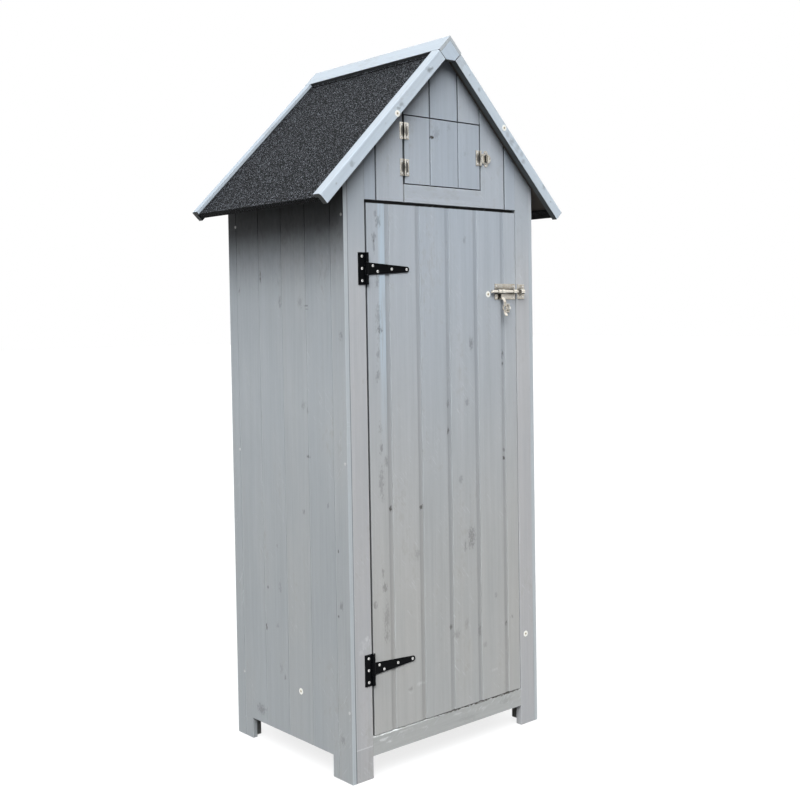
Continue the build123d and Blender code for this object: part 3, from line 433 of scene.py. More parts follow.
hatch_marks = [
    (-36, 1507, 7, 4, 1.0), (-22, 1515, 12, 16, 0.22), (18, 1537, 5, 9, 0.18), (72, 1476, 5, 5, 0.14),
]
stile_marks = [(-264, 318, 14, 14, -0.16), (-258, 330, 7, 6, -0.24), (-276, 304, 8, 9, -0.16)]
# The lines at 97 mm high: the dark ones are a painted shadow of the gap under the door, the pale one at the
# left is chipped paint and a painted highlight.
rail_marks_shade_and_highlight = [
    (-215, 84, 14, 4, -0.50), (-196, 74, 9, 3, -0.40), (-150, 88, 18, 3, -0.30), (-90, 80, 10, 3, -0.25),
    (20, 86, 16, 3, -0.25), (110, 78, 12, 3, -0.25), (-195, 97, 60, 2.5, -0.95), (0, 97, 80, 3, 0.70),
    (100, 97, 80, 3, 0.80), (190, 97, 70, 3, 0.85), (60, 66, 30, 8, 0.14), (190, 80, 26, 9, 0.16),
]
trim_marks = [
    (-68, 1658, 10, 9, 0.50), (-60, 1664, 6, 4, 0.45), (-155, 1568, 9, 7, 0.40), (-165, 1558, 8, 4, 0.40),
    (321, 1408, 9, 9, 0.36), (245, 1468, 8, 7, 0.30), (-301, 1418, 7, 8, 0.30), (93, 1631, 5, 6, 0.30),
    (190, 1532, 7, 8, 0.22), (206, 1516, 11, 12, 0.30), (224, 1500, 11, 10, 0.26), (240, 1486, 7, 8, 0.20),
]


def span(node, axis):
    """Lowest and highest coordinate of a CAD node along an axis, in metres."""
    places = [vertex.co[axis] for vertex in frame["nodes"][node].data.vertices]
    return min(places), max(places)


MM = 0.001
FRONT = span("door_boards", 1)[0]
VERGE = span("bargeboard_front_left", 1)[0]
LEFT = span("left_wall_boards", 0)[0]
marked_faces = {"front": (1, FRONT), "verge": (1, VERGE), "left": (0, LEFT)}
print("marks:", len(door_marks), "on the door,", len(wall_marks), "on the left wall,",
      len(hatch_marks + stile_marks + rail_marks_shade_and_highlight + trim_marks), "elsewhere")
print("front", round(FRONT, 4), "verge", round(VERGE, 4), "left wall", round(LEFT, 4))

# %% [markdown]
# ## What a board knows of itself
#
# Every layer of the paint asks the same questions: where on the board is this point, how high above
# the ground, is the fibre light or dark here? They are answered once, and the layers share the
# answers. Each board reads the noises at a place of its own, so no two boards are alike. A noise
# that is stretched along the grain gives fibres and streaks, a rounder one gives blotches.


# %% Places and noises
class Wood:
    """Coordinates of a painted board, and the noises that its layers of paint share."""

    def __init__(self, f):
        grain = f.attribute("grain", out=1)
        self.number = f.attribute("board")
        self.across, _, self.along = f.axes(grain)
        self.place = f.place()
        self.side, self.front, self.height = f.axes(self.place)
        own = {axis: self.number * far for axis, far in enumerate((37.0, 91.0, 53.0))}
        here = f.shift(grain, f.node("CombineXYZ", {}, own))
        self.fibre = f.noise(f.stretch(here, (560.0, 560.0, 11.0)), 3.0, 0.6)
        self.streak = f.noise(f.stretch(here, (150.0, 150.0, 2.6)), 3.0, 0.55)
        self.band = f.noise(f.stretch(here, (42.0, 42.0, 1.2)), 3.0, 0.5, 0.4)
        self.ring = f.node("Math", {"operation": "SINE"}, {0: self.band * 46.0}) * 0.5 + 0.5
        self.blotch = f.noise(f.stretch(here, (85.0, 85.0, 42.0)), 4.0, 0.65)
        self.cloud = f.noise(f.stretch(here, (11.0, 11.0, 3.4)), 3.0, 0.55)
        self.dab = f.noise(f.stretch(here, (330.0, 330.0, 130.0)), 3.0, 0.6)


# %% [markdown]
# ## The coat and what lies under it
#
# The base coat runs from one colour at the top to a warmer one near the ground. Knots show through
# it as faint ovals with a thin darker outline. A Voronoi texture deals one point to every cell of a
# loose grid, and a lottery on the cell's random colour keeps only a few of them as knots.


# %% Base coat and knots
def base_coat(f, wood, upper, lower):
    """Two colours from top to bottom, each board a little bluer or browner, with streaks and slow bands."""
    colour = f.mix(f.fade(wood.height + (wood.cloud - 0.5) * 0.3, 0.30, 1.50), lower, upper)
    cool, warm = (0.988, 1.0, 1.012, 1), (1.012, 1.0, 0.988, 1)
    tint = f.mix(f.fade(wood.number * 0.5 + wood.cloud * 0.9, 0.45, 0.95), cool, warm)
    tone = (wood.number - 0.5) * 0.06 + (wood.band - 0.5) * 0.12 + (wood.streak - 0.5) * 0.16
    tone = tone + (wood.cloud - 0.5) * 0.14 + (wood.fibre - 0.5) * 0.12 + (wood.blotch - 0.5) * 0.07
    return f.shade(f.stretch(colour, tint), tone - wood.ring * 0.02 + 1.01)


def knots_in(f, wood, share):
    """Ovals on a share of the cells of a loose grid, and the outline round each."""
    spread = {0: wood.across * 10.0 + wood.number * 71.0, 1: wood.along * 5.6 + wood.number * 29.0}
    cell = {"Vector": f.node("CombineXYZ", {}, spread), "Scale": 1.0}
    flat = {"voronoi_dimensions": "2D"}
    lottery = f.axes(f.node("TexVoronoi", flat, cell, out=1))[0]
    near = f.node("TexVoronoi", flat, cell) + (wood.blotch - 0.5) * 0.16
    chosen = lottery > 1 - share
    return f.fade(near, 0.15, 0.06) * chosen, f.fade(abs(near - 0.13), 0.03, 0.0) * chosen


# %% [markdown]
# ## Wear and landmarks
#
# Use leaves its own layers: smudges of dust with fine specks beside them, slanting pale scuffs,
# rubbed edges where the coat is thinnest, and end grain that drank the paint. A landmark is an oval
# whose rim is broken up by the noises, so that it doesn't look stamped.


# %% Wear and landmarks
def with_wear(f, wood, colour, scuffs):
    """Dust, specks, scuffs, rubbed edges and end grain over a coat."""
    smudge = f.fade(wood.blotch * 0.55 + wood.cloud * 0.45, 0.55, 0.68)
    colour = f.mix(smudge * 0.20, colour, linear(138, 131, 120))
    specks = f.fade(wood.dab, 0.66, 0.76) * f.fade(wood.blotch, 0.52, 0.62)
    colour = f.mix(specks * 0.30, colour, linear(92, 88, 82))
    slant = f.node("CombineXYZ", {}, {0: (wood.along * 0.8 + wood.across * 0.6) * 28.0,
                                      1: (wood.across * 0.8 - wood.along * 0.6) * 460.0,
                                      2: wood.number * 19.0})
    scuff = f.fade(f.noise(slant, 2.0, 0.5), 0.64, 0.72) * f.fade(wood.cloud, 0.47, 0.60)
    edge = f.attribute("half_width") - abs(wood.across)
    rubbed = f.fade(edge + (wood.blotch - 0.5) * 0.006, 0.003, 0.0) * f.fade(wood.fibre, 0.30, 0.62)
    colour = f.mix(scuff * scuffs * 2.0 + rubbed * 0.22, colour, linear(214, 219, 223))
    return f.mix(f.fade(f.attribute("end_grain"), 0.4, 0.6) * 0.35, colour, linear(150, 142, 128))


MARK_DEPTH = 20 * MM


def with_landmarks(f, wood, colour, marks, face, speckle):
    """Dark marks and pale scratches at their places on one face of the shed."""
    axis, depth = marked_faces[face]
    stain = scratch = 0.0
    for over, up, half_wide, half_high, dark in marks:
        centre, half = [over * MM, up * MM], [half_wide * MM, half_high * MM]
        centre.insert(axis, depth)
        half.insert(axis, MARK_DEPTH)
        far = f.away(wood.place, centre, half) + (wood.blotch - 0.5) * 1.8 + (wood.dab - 0.5) * speckle
        patch = f.fade(far, 1.25, 0.20)
        if dark > 0:
            stain = patch * dark + stain
        else:
            scratch = patch * -dark + scratch
    colour = f.mix(stain, colour, linear(64, 60, 55))
    return f.mix(scratch, colour, linear(224, 226, 226))


# %% [markdown]
# ## The whole finish
#
# The layers go on one after another: the coat, the knots that show through it, wear, painted shade
# on upward faces, painted shade under the eaves, what only one piece has, landmarks, then dust and
# painted shade in the joints, and painted shade on the sawn edges round the gaps. Layers that a piece
# doesn't have are left out of its material.


# %% Paint recipe
def painted_fir(name, upper, lower, knots=0.08, marks=(), marks_on=None, scuffs=0.15, joints=0.2, gap_shade=0.0,
                top_shade=0.0, eave_shade=0.0, speckle=3.4, extra=None, tight=None):
    """Thin paint over wood, one layer after another."""
    f = new_finish(name)
    wood = Wood(f)
    oval, outline = knots_in(f, wood, knots)
    colour = base_coat(f, wood, upper, lower)
    colour = f.mix(oval * 0.22 + outline * 0.22, colour, linear(112, 106, 98))
    colour = with_wear(f, wood, colour, scuffs)
    # Painted shade: faces that look up are darkened against the strong light from above.
    if top_shade:
        upward = f.fade(f.facing()[2], 0.05, 0.60)
        colour = f.shade(colour, 1 - upward * (wood.cloud * 0.3 + 0.85) * top_shade)
    # Painted shade under the eaves: the wall darkens steeply near the eave and a little from 0.85 m up.
    if eave_shade:
        eave_shaded = f.fade(wood.height + (wood.blotch - 0.5) * 0.04, 1.10, 1.36) * eave_shade
        eave_shaded = eave_shaded + f.fade(wood.height, 0.85, 1.15) * 0.11
        colour = f.shade(colour, 1 - eave_shaded * f.fade(wood.front, FRONT + 0.0002, FRONT + 0.0010))
    if extra:
        colour = extra(f, colour, wood)
    if marks:
        colour = with_landmarks(f, wood, colour, marks, marks_on, speckle)
    # Dust and painted shade in the channels of the joints, less in the tight joints beside the hatch.
    if joints:
        joint_dust_and_shade = f.attribute("channel") * (wood.blotch * 0.5 + 0.75) * joints
        if tight:
            joint_dust_and_shade = joint_dust_and_shade * (1 - tight(f, wood) * 0.8)
        colour = f.mix(joint_dust_and_shade, colour, linear(40, 41, 43))
    # Painted shade on the sawn edges of a panel's outline, which face into the gaps round it.
    if gap_shade:
        colour = f.mix(f.attribute("outline") * gap_shade, colour, linear(40, 39, 38))
    relief = wood.fibre * 0.5 + wood.ring * 0.3 + wood.dab * 0.15 - oval * 0.5
    rough = (wood.fibre - 0.5) * 0.2 + (wood.cloud - 0.5) * 0.14 + 0.62
    return f.finish(Base_Color=colour, Roughness=rough, Specular_IOR_Level=0.25,
                    Normal=f.bump(relief, 0.00022, 0.7))


wall_high, wall_low = linear(172, 179, 188), linear(170, 170, 169)
wall_paint = painted_fir("grey_paint_on_fir", wall_high, wall_low, joints=0.12)

# %% [markdown]
# ## What only some boards have
#
# A few pieces carry something of their own. The left stile has a ruled line above its foot, and both
# stiles turn bluer and darker at the top, a painted shade under the roof. The corner of a side wall
# shows a thin seam beside the stile. The first door board has a paler strip. Timber near the ground
# is darkened with painted shade.


# %% Stiles, corners, door and feet
def stile_ends(f, colour, wood):
    left = f.fade(wood.side, -0.1, -0.2)
    colour = f.shade(colour, 1 - f.fade(wood.height, 0.076, 0.074) * left * 0.06)
    ruled = f.fade(abs(wood.height - 0.0765), 0.0020, 0.0008)
    colour = f.mix(ruled * left * 0.35, colour, linear(220, 222, 222))
    # Painted shade under the roof: the top of each stile turns bluer and darker.
    return f.mix(f.fade(wood.height, 1.08, 1.36) * 0.55, colour, linear(160, 171, 182))


def corner_seam(f, colour, wood):
    edge = f.fade(wood.front, FRONT + 0.0007, FRONT + 0.0002)
    colour = f.mix(edge * 0.45, colour, linear(200, 207, 213))
    strength = f.fade(wood.side, 0.1, -0.1) * 0.45 + f.fade(wood.height, 0.40, 0.15) * 0.20 + 0.06
    seam = edge * f.fade(abs(wood.side), 0.2957, 0.2947)
    return f.mix(seam * strength, colour, linear(50, 51, 53))


def pale_strip(f, colour, wood):
    strip = f.fade(abs(wood.side + 0.1960), 0.0130, 0.0070) * f.fade(wood.height, 0.70, 1.15)
    streak = f.noise(f.stretch(wood.place, (260.0, 260.0, 7.0)), 3.0, 0.6)
    return f.mix(strip * f.fade(streak, 0.25, 0.60) * 0.75, colour, linear(186, 202, 215))


def shaded_foot(f, colour, wood):
    # Painted shade near the ground, darkest at the floor.
    return f.shade(colour, 1 - f.fade(wood.height, 0.12, 0.07) * 0.65)


# %% [markdown]
# ## Round the hatch and under the trim
#
# The hatch's right edge is darkened with a painted shadow of the gap beside it, and two joints beside
# the hatch are so tight that they take little of the joints' dust and painted shade. The underside of
# the trim is darkened with painted shade. The rear bargeboards' inner side is a greyer paint, with
# painted shade at its foot. That foot follows the slope of the roof, so it is told by the distance
# from the roof's plane.

# %% Hatch and trim
HATCH_FOOT, HATCH_TOP = span("hatch_boards", 2)
ROOF_RISE = 0.403
ROOF_SLOPE = Vector((cad_box[1][0], ROOF_RISE)).normalized()
ROOF_TOP = cad_box[1][2] * ROOF_SLOPE.x
print("hatch from", round(HATCH_FOOT, 4), "to", round(HATCH_TOP, 4))
print("the roof's plane lies", round(ROOF_TOP, 4), "from the origin")


def beside_hatch(f, wood):
    above = f.fade(wood.height, HATCH_TOP + 0.003, HATCH_TOP + 0.006) * f.fade(wood.side, 0.100, 0.110)
    under = f.fade(wood.height, HATCH_FOOT - 0.003, HATCH_FOOT - 0.006) * f.fade(wood.side, -0.110, -0.118)
    return above + under * f.fade(wood.side, -0.150, -0.140)


def gap_shadow_edge(f, colour, wood):
    # Painted shadow of the gap beside the hatch's right edge.
    return f.mix(f.fade(wood.side, 0.1198, 0.1206) * 0.85, colour, linear(38, 38, 38))


def shaded_underneath(f, colour, wood):
    # Painted shade on faces that look down.
    return f.mix(f.fade(f.facing()[2], -0.35, -0.6) * 0.90, colour, linear(72, 73, 71))


def shaded_inside(f, colour, wood):
    inner = f.fade(f.facing()[1], -0.5, -0.9)
    outwards = abs(wood.side) * ROOF_SLOPE.y + wood.height * ROOF_SLOPE.x
    lower = f.fade(outwards, ROOF_TOP - 0.0065, ROOF_TOP - 0.0080)
    colour = f.mix(inner * 0.45, shaded_underneath(f, colour, wood), linear(150, 156, 163))
    # Painted shade at the foot of the inner side.
    return f.mix(inner * lower * 0.95, colour, linear(18, 18, 18))


# %% [markdown]
# ## One recipe, many boards
#
# The walls, door, hatch, stiles, rail and trim share the recipe and differ in a few numbers: the two
# colours, how many knots, how much dust and painted shade lie in the joints, and the pieces' own marks.

# %% Paints on the walls and the front
right_paint = painted_fir("grey_paint_right_wall", wall_high, linear(169, 172, 173), 0.06, joints=0.10,
                          eave_shade=0.84, extra=corner_seam)
left_paint = painted_fir("grey_paint_left_wall", linear(177, 182, 187), linear(162, 165, 167), 0.02,
                         wall_marks, "left", joints=0.10, eave_shade=0.84, extra=corner_seam)
gable_paint = painted_fir("grey_paint_gable", wall_high, wall_low, 0.02, joints=0.66, gap_shade=0.80,
                          tight=beside_hatch)
door_paint = painted_fir("grey_paint_door", wall_high, wall_low, 0.02, door_marks, "front", joints=0.16,
                         gap_shade=0.75, extra=pale_strip)
hatch_paint = painted_fir("grey_paint_hatch", wall_high, wall_low, 0.0, hatch_marks, "front", joints=0.18,
                          gap_shade=0.80, extra=gap_shadow_edge)
stile_paint = painted_fir("grey_paint_stiles", linear(182, 184, 188), linear(173, 173, 175), 0.02,
                          stile_marks, "front", extra=stile_ends)
rail_paint = painted_fir("grey_paint_rail", linear(174, 175, 174), linear(173, 173, 171), 0.05, rail_marks_shade_and_highlight,
                         "front", scuffs=0.40)

# %% Paints on the trim and inside
trim_high, trim_low = linear(191, 202, 213), linear(189, 199, 209)
trim_paint = painted_fir("pale_paint_on_trim", trim_high, trim_low, 0.14, trim_marks, "verge", scuffs=0.10,
                         top_shade=0.30, speckle=1.4, extra=shaded_underneath)
rear_paint = painted_fir("pale_paint_on_rear_trim", trim_high, trim_low, 0.14, scuffs=0.10, top_shade=0.30,
                         extra=shaded_inside)
inner_stain = painted_fir("thin_stain_inside", linear(166, 170, 173), linear(164, 164, 160), 0.12, joints=0.0,
                          extra=shaded_foot)
# Painted shade: the head batten and hatch stops, seen only through the gaps, are given a dark grey.
shade_on_stops = painted_fir("painted_shade_on_stops", linear(62, 62, 62), linear(62, 62, 62), 0.12, joints=0.0)

# %% [markdown]
# ## Roofing felt
#
# Felt is bitumen board with crushed slate pressed into it. From a few steps away it reads as dark
# grey with a fine glitter of paler grains. Real grains would be millions of faces, so a Voronoi
# texture stands for them: each cell is one grain with its own grey and its own tilt. Where the felt
# turns down over the eave it is darkened with painted shade.


# %% Felt recipe
def slate_felt():
    f = new_finish("slate_felt")
    place = f.place()
    coarse = {"Vector": place, "Scale": 600.0}
    fine = {"Vector": place, "Scale": 1500.0}
    grey = f.axes(f.node("TexVoronoi", {}, coarse, out=1))[0]
    speck = f.axes(f.node("TexVoronoi", {}, fine, out=1))[1]
    bed = f.node("TexVoronoi", {}, coarse)
    patch = f.noise(f.stretch(place, (16.0, 16.0, 16.0)), 4.0, 0.6)
    light = f.fade(grey, 0.78, 1.0) + f.fade(speck, 0.85, 1.0) * 0.15
    colour = f.mix(light * (patch * 0.25 + 0.43), linear(9, 10, 12), linear(150, 155, 165))
    # Painted shade where the felt turns down over the eave.
    shaded_turn = f.fade(f.facing()[2], 0.45, 0.25)
    colour = f.shade(colour, 1 - shaded_turn * 0.75)
    return f.finish(Base_Color=colour, Roughness=0.94 - grey * 0.15, Specular_IOR_Level=0.12,
                    Normal=f.bump(1 - bed + grey * 0.5, 0.0007, 0.9))


felt = slate_felt()

# %% [markdown]
# ## Metal
#
# The hinges of the door are painted black, a little uneven, like any dipped paint. The bolt, the
# hatch's hinges and the hasp are plated with nickel, which is slightly warm and has rub marks; on
# the hatch it has gone dark in patches, and a painted dark reflection lies in the middle of each
# hinge leaf. The screws are zinc, dull on the walls, with painted shade on those under the eaves,
# and the nails of the trim were painted over. All are the same recipe with other numbers: a colour,
# smudges that change the gloss, and a bump fine enough to break up a reflection. Nickel also gets
# painted shade in corners and a painted dark reflection underneath.


# %% Metal recipe
LEAF_DEPTH = 50 * MM


def box_of(mesh, faces):
    """Lowest and highest corner of some faces, and their points."""
    points = [mesh.vertices[i].co for face in faces for i in mesh.polygons[face].vertices]
    low = Vector([min(point[axis] for point in points) for axis in range(3)])
    high = Vector([max(point[axis] for point in points) for axis in range(3)])
    return low, high, points


def metal(name, colour, metallic, gloss, smudge, worn, shine=0.5, crevice_shade=0.0, dark_reflected_middles=(),
          eave_shade=0.0):
    """Plated or painted metal; dark_reflected_middles names nodes whose solids get a painted dark reflection
    in the middle.
    """
    f = new_finish(name)
    place = f.place()
    smear = f.noise(f.stretch(place, (70.0, 70.0, 70.0)), 4.0, 0.6)
    scratch = f.noise(f.stretch(place, (240.0, 900.0, 1800.0)), 2.0, 0.5)
    pit = f.noise(f.stretch(place, (1400.0, 1400.0, 1400.0)), 2.0, 0.5)
    tint = f.mix(f.fade(smear, 0.42, 0.72) * 0.6, colour, worn)
    # Painted shade in corners, from ambient occlusion, and a painted dark reflection on faces that look down.
    if crevice_shade:
        open_sky = f.node("AmbientOcclusion", {"samples": 6}, {"Distance": 0.012}, out="AO")
        below = f.fade(f.facing()[2], -0.10, -0.75)
        corner_and_under_shade = f.node("Math", {"operation": "MAXIMUM"}, {0: f.fade(open_sky, 0.95, 0.42), 1: below})
        tint = f.mix(corner_and_under_shade * crevice_shade, tint, linear(16, 15, 13))
    # Painted dark reflection in the middle of each solid of these nodes.
    for node in dark_reflected_middles:
        mesh = frame["nodes"][node].data
        for faces in solid_faces(mesh):
            low, high, _ = box_of(mesh, faces)
            half = (high - low) / 2
            far = f.away(place, (low + high) / 2, (half.x, LEAF_DEPTH, half.z)) + (smear - 0.5) * 1.2
            tint = f.mix(f.fade(far, 0.90, 0.40) * 0.82, tint, linear(36, 35, 33))
    # Painted shade on screws under the eaves: darker from 1.05 m up.
    if eave_shade:
        tint = f.shade(tint, 1 - f.fade(f.axes(place)[2], 1.05, 1.25) * eave_shade)
    return f.finish(Base_Color=tint, Metallic=metallic, Specular_IOR_Level=shine,
                    Roughness=(smear - 0.5) * smudge + (scratch - 0.5) * smudge * 0.6 + gloss,
                    Normal=f.bump(pit * 0.6 + scratch * 0.4, 0.00004, 0.4))


black_iron = metal("black_hinge_paint", linear(5, 6, 8), 0.0, 0.42, 0.35, linear(11, 12, 14), 0.05)
nickel = metal("warm_nickel", linear(252, 247, 236), 1.0, 0.17, 0.20, linear(216, 204, 186), crevice_shade=0.95)
aged_nickel = metal("aged_nickel", linear(234, 230, 221), 1.0, 0.20, 0.20, linear(58, 54, 48), crevice_shade=0.97,
                    dark_reflected_middles=("hatch_hinge_leaves", "hatch_hinge_flaps", "hasp_leaf"))
zinc = metal("bright_zinc", linear(238, 238, 236), 1.0, 0.26, 0.22, linear(212, 212, 208))
dull_plating = (linear(204, 205, 205), 1.0, 0.40, 0.22, linear(160, 160, 158))
dull_zinc = metal("dull_zinc", *dull_plating)
wall_zinc = metal("zinc_on_walls", *dull_plating, eave_shade=0.52)
painted_nail = metal("paint_on_nails", linear(186, 195, 204), 0.0, 0.50, 0.20, linear(150, 152, 152), 0.3)

# %% [markdown]
# ## Raw roof boards
#
# Under the eaves one sees the sheathing that carries the felt. It is a brown board with long
# fibres, coloured dark as painted shade for the deep shadow under the eaves.


# %% Sheathing recipe
def sheathing():
    f = new_finish("shade_dark_sheathing")
    place = f.place()
    fibre = f.noise(f.stretch(place, (300.0, 12.0, 300.0)), 4.0, 0.6)
    patch = f.noise(f.stretch(place, (9.0, 4.0, 9.0)), 3.0, 0.5)
    # The dark browns are painted shade for the deep shadow under the eaves.
    colour = f.mix(fibre * 0.7 + patch * 0.3, linear(48, 45, 42), linear(92, 84, 74))
    return f.finish(Base_Color=colour, Roughness=(fibre - 0.5) * 0.2 + 0.8, Normal=f.bump(fibre, 0.0003, 0.7))


roof_board = sheathing()

# %% [markdown]
# ## Dressing the timber
#
# Every board, post, batten and bargeboard goes through the same two steps: soften the arrises, lay
# the grain. All get the same small rounding, because a wide one would swallow the narrow channels
# between the boards.

# %% Timber
timber = {
    wall_paint: ["back_wall_boards", "hatch_sill"],
    right_paint: ["right_wall_boards"],
    gable_paint: ["gable_boards"],
    left_paint: ["left_wall_boards"],
    door_paint: ["door_boards"],
    hatch_paint: ["hatch_boards"],
    stile_paint: ["front_stile_left", "front_stile_right"],
    rail_paint: ["bottom_rail"],
    trim_paint: ["bargeboard_front_left", "bargeboard_front_right", "apex_plate_front", "ridge_cap_left",
                 "ridge_cap_right"],
    rear_paint: ["bargeboard_back_left", "bargeboard_back_right", "apex_plate_back"],
    shade_on_stops: ["head_batten", "hatch_stops"],
    inner_stain: ["corner_posts", "back_wall_battens", "floor_boards", "floor_bearers", "shelf_cleats",
                  "lower_shelf", "upper_shelf", "attic_floor", "ridge_beam", "wall_plates", "door_ledges",
                  "door_braces", "hatch_battens"],
}
for paint, nodes in timber.items():
    for node in nodes:
        bm = softened(node, ARRIS, SHORTEST)
        boards = lay_grain(bm, node)
        piece = dress(node, bm, paint)
        print(node, boards, "boards,", len(piece.data.polygons), "faces")

# %% [markdown]
# ## Dressing the roof and the metal
#
# Felt and sheathing keep the shapes of the CAD model and only take their finish. The stamped metal
# parts get a quarter millimetre on every outer edge, round holes too, because a stamped edge is
# what glints first.

# %% Roof and hardware
for node in ("roof_felt_left", "roof_felt_right", "ridge_felt"):
    frame["nodes"][node].data.materials[0] = felt
for node in ("roof_deck_left", "roof_deck_right"):
    frame["nodes"][node].data.materials[0] = roof_board
hardware = {
    black_iron: ["hinge_leaf_lower", "hinge_leaf_upper", "hinge_strap_lower", "hinge_strap_upper"],
    nickel: ["bolt_plate", "bolt_rod", "bolt_lever", "bolt_staple", "bolt_keeper"],
    aged_nickel: ["hatch_hinge_leaves", "hatch_hinge_flaps", "hasp_leaf", "hasp_flap", "turn_base",
                  "turn_knob"],
    dull_zinc: ["hinge_pins", "hasp_pin"],
}
STAMPED_EDGE = 0.25 * MM
SHORTEST_GLINT = 0.2 * MM
for coat, nodes in hardware.items():
    for node in nodes:
        piece = dress(node, softened(node, STAMPED_EDGE, SHORTEST_GLINT), coat, 22)
        print(node, len(piece.data.polygons), "faces")

# %% [markdown]
# ## Screws and nails
#
# A screw head has a domed rim and a cross to drive it by. The CAD screws are plain, so each gets a
# new head: a cross-shaped face is pressed in for the recess, its outline is bridged to a ring, and
# the ring is stepped outwards and down to the plate, where the underside closes it. Nail heads are
# the same without the cross.


# %% Heads
def head(bm, centre, out, radius, height, crossed):
    """One head on a surface: out is the way that it faces."""
    turn = out.to_track_quat("Z", "Y").to_matrix().to_4x4()
    ring = bmesh.ops.create_circle(bm, cap_ends=not crossed, segments=20, radius=radius * 0.62)["verts"]
    made = list(ring)
    if crossed:
        long, short = radius * 0.50, radius * 0.13
        corner = [(long, -short), (long, short), (short, short), (short, long), (-short, long),
                  (-short, short), (-long, short), (-long, -short), (-short, -short), (-short, -long),
                  (short, -long), (short, -short)]
        cross = [bm.verts.new((x, y, 0.0)) for x, y in corner]
        floor = bm.faces.new(cross)
        inner = list(floor.edges)
        pressed = bmesh.ops.extrude_face_region(bm, geom=[floor])["geom"]
        bmesh.ops.delete(bm, geom=[floor], context="FACES_ONLY")
        sunk = [item for item in pressed if isinstance(item, bmesh.types.BMVert)]
        bmesh.ops.translate(bm, vec=(0, 0, -height * 0.5), verts=sunk)
        rim = [edge for vertex in ring for edge in vertex.link_edges]
        bmesh.ops.bridge_loops(bm, edges=list({edge: None for edge in rim + inner}))
        made += cross + sunk
    loop = list({edge: None for vertex in ring for edge in vertex.link_edges
                 if all(end in ring for end in edge.verts)})
    for grow, drop in ((1.42, 0.25), (1.12, 0.35), (1.01, 0.45)):
        step = bmesh.ops.extrude_edge_only(bm, edges=loop)["geom"]
        verts = [item for item in step if isinstance(item, bmesh.types.BMVert)]
        bmesh.ops.scale(bm, vec=(grow, grow, 1.0), verts=verts)
        bmesh.ops.translate(bm, vec=(0, 0, -height * drop), verts=verts)
        loop = [item for item in step if isinstance(item, bmesh.types.BMEdge)
                and all(end in verts for end in item.verts)]
        made += verts
    bmesh.ops.edgeloop_fill(bm, edges=loop)
    bmesh.ops.transform(bm, matrix=Matrix.Translation(centre + out * height) @ turn, verts=made)


def heads_for(node, crossed):
    """New heads in the places of a node's screws, read from the box round each solid."""
    mesh = frame["nodes"][node].data
    bm = bmesh.new()
    for faces in solid_faces(mesh):
        low, high, points = box_of(mesh, faces)
        size = high - low
        axis = max(range(3), key=lambda i: abs(size[i] - sorted(size)[1]))
        middle = (low + high) / 2
        radius = sorted(size)[1] / 2
        face_out = Vector((0, 0, 0))
        face_out[axis] = 1.0 if middle[axis] > 0 else -1.0
        tip = middle + face_out * size[axis] / 2
        wide = [p for p in points
                if (p - middle - face_out * (p - middle).dot(face_out)).length > radius * 0.9]
        height = max((tip - p).dot(face_out) for p in wide)
        head(bm, tip - face_out * height, face_out, radius, height, crossed)
    bmesh.ops.recalc_face_normals(bm, faces=bm.faces)
    return bm


fasteners = {"frame_screws": zinc, "wall_screws": wall_zinc, "door_screws": zinc, "hatch_screws": zinc,
             "bargeboard_nails": painted_nail}
for node, coat in fasteners.items():
    piece = dress(node, heads_for(node, crossed=node.endswith("screws")), coat, 40)
    print(node, len(piece.data.polygons), "faces")

# %% [markdown]
# ## Marker dots
#
# Five round paper markers, plain white with a small brown dot, are stuck to the boards. Each is a
# thin disc with a rolled rim. An inset gives the dot a face of its own, so the brown is a number
# stored on that face, and stays sharp from any distance.


# %% Dots
MARKER_RADIUS = 7.8 * MM
DOT_RADIUS = 2.6 * MM
PAPER = 0.5 * MM
ROLLED_RIM = 0.18 * MM


def paper():
    f = new_finish("marker_paper")
    pulp = f.noise(f.stretch(f.place(), (600.0, 600.0, 600.0)), 3.0, 0.6)
    colour = f.mix(f.fade(f.attribute("dot"), 0.4, 0.6), linear(243, 241, 234), linear(150, 134, 108))
    return f.finish(Base_Color=f.shade(colour, (pulp - 0.5) * 0.08 + 1), Roughness=(pulp - 0.5) * 0.2 + 0.6,
                    Normal=f.bump(pulp, 0.00008, 0.5))


def marker(name, body, face, over, up):
    """Disc of paper on a face of the shed, at a place in millimetres."""
    axis, depth = marked_faces[face]
    spot, out = [over * MM, up * MM], [0, 0]
    spot.insert(axis, depth)
    out.insert(axis, -1)
    bm = bmesh.new()
    dot = bm.faces.layers.float.new("dot")
    bmesh.ops.create_circle(bm, cap_ends=True, segments=32, radius=MARKER_RADIUS)
    disc = bm.faces[:][0]
    rise = bmesh.ops.extrude_face_region(bm, geom=[disc])["geom"]
    top = [item for item in rise if isinstance(item, bmesh.types.BMFace)]
    bmesh.ops.translate(bm, vec=(0, 0, PAPER), verts=list(top[0].verts))
    bmesh.ops.inset_region(bm, faces=top, thickness=MARKER_RADIUS - DOT_RADIUS)
    top[0][dot] = 1.0
    rim = [edge for edge in bm.edges if edge.calc_face_angle() > radians(60)]
    bmesh.ops.bevel(bm, geom=rim, offset=ROLLED_RIM, offset_type="OFFSET", affect="EDGES", segments=2,
                    profile=0.5, material=-1)
    bmesh.ops.recalc_face_normals(bm, faces=bm.faces)
    turn = Vector(out).to_track_quat("Z", "Y").to_matrix().to_4x4()
    bmesh.ops.transform(bm, matrix=Matrix.Translation(spot) @ turn, verts=bm.verts)
    piece = as_piece(name, bm, marker_paper)
    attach(piece, body)
    print(name, "on the", body)


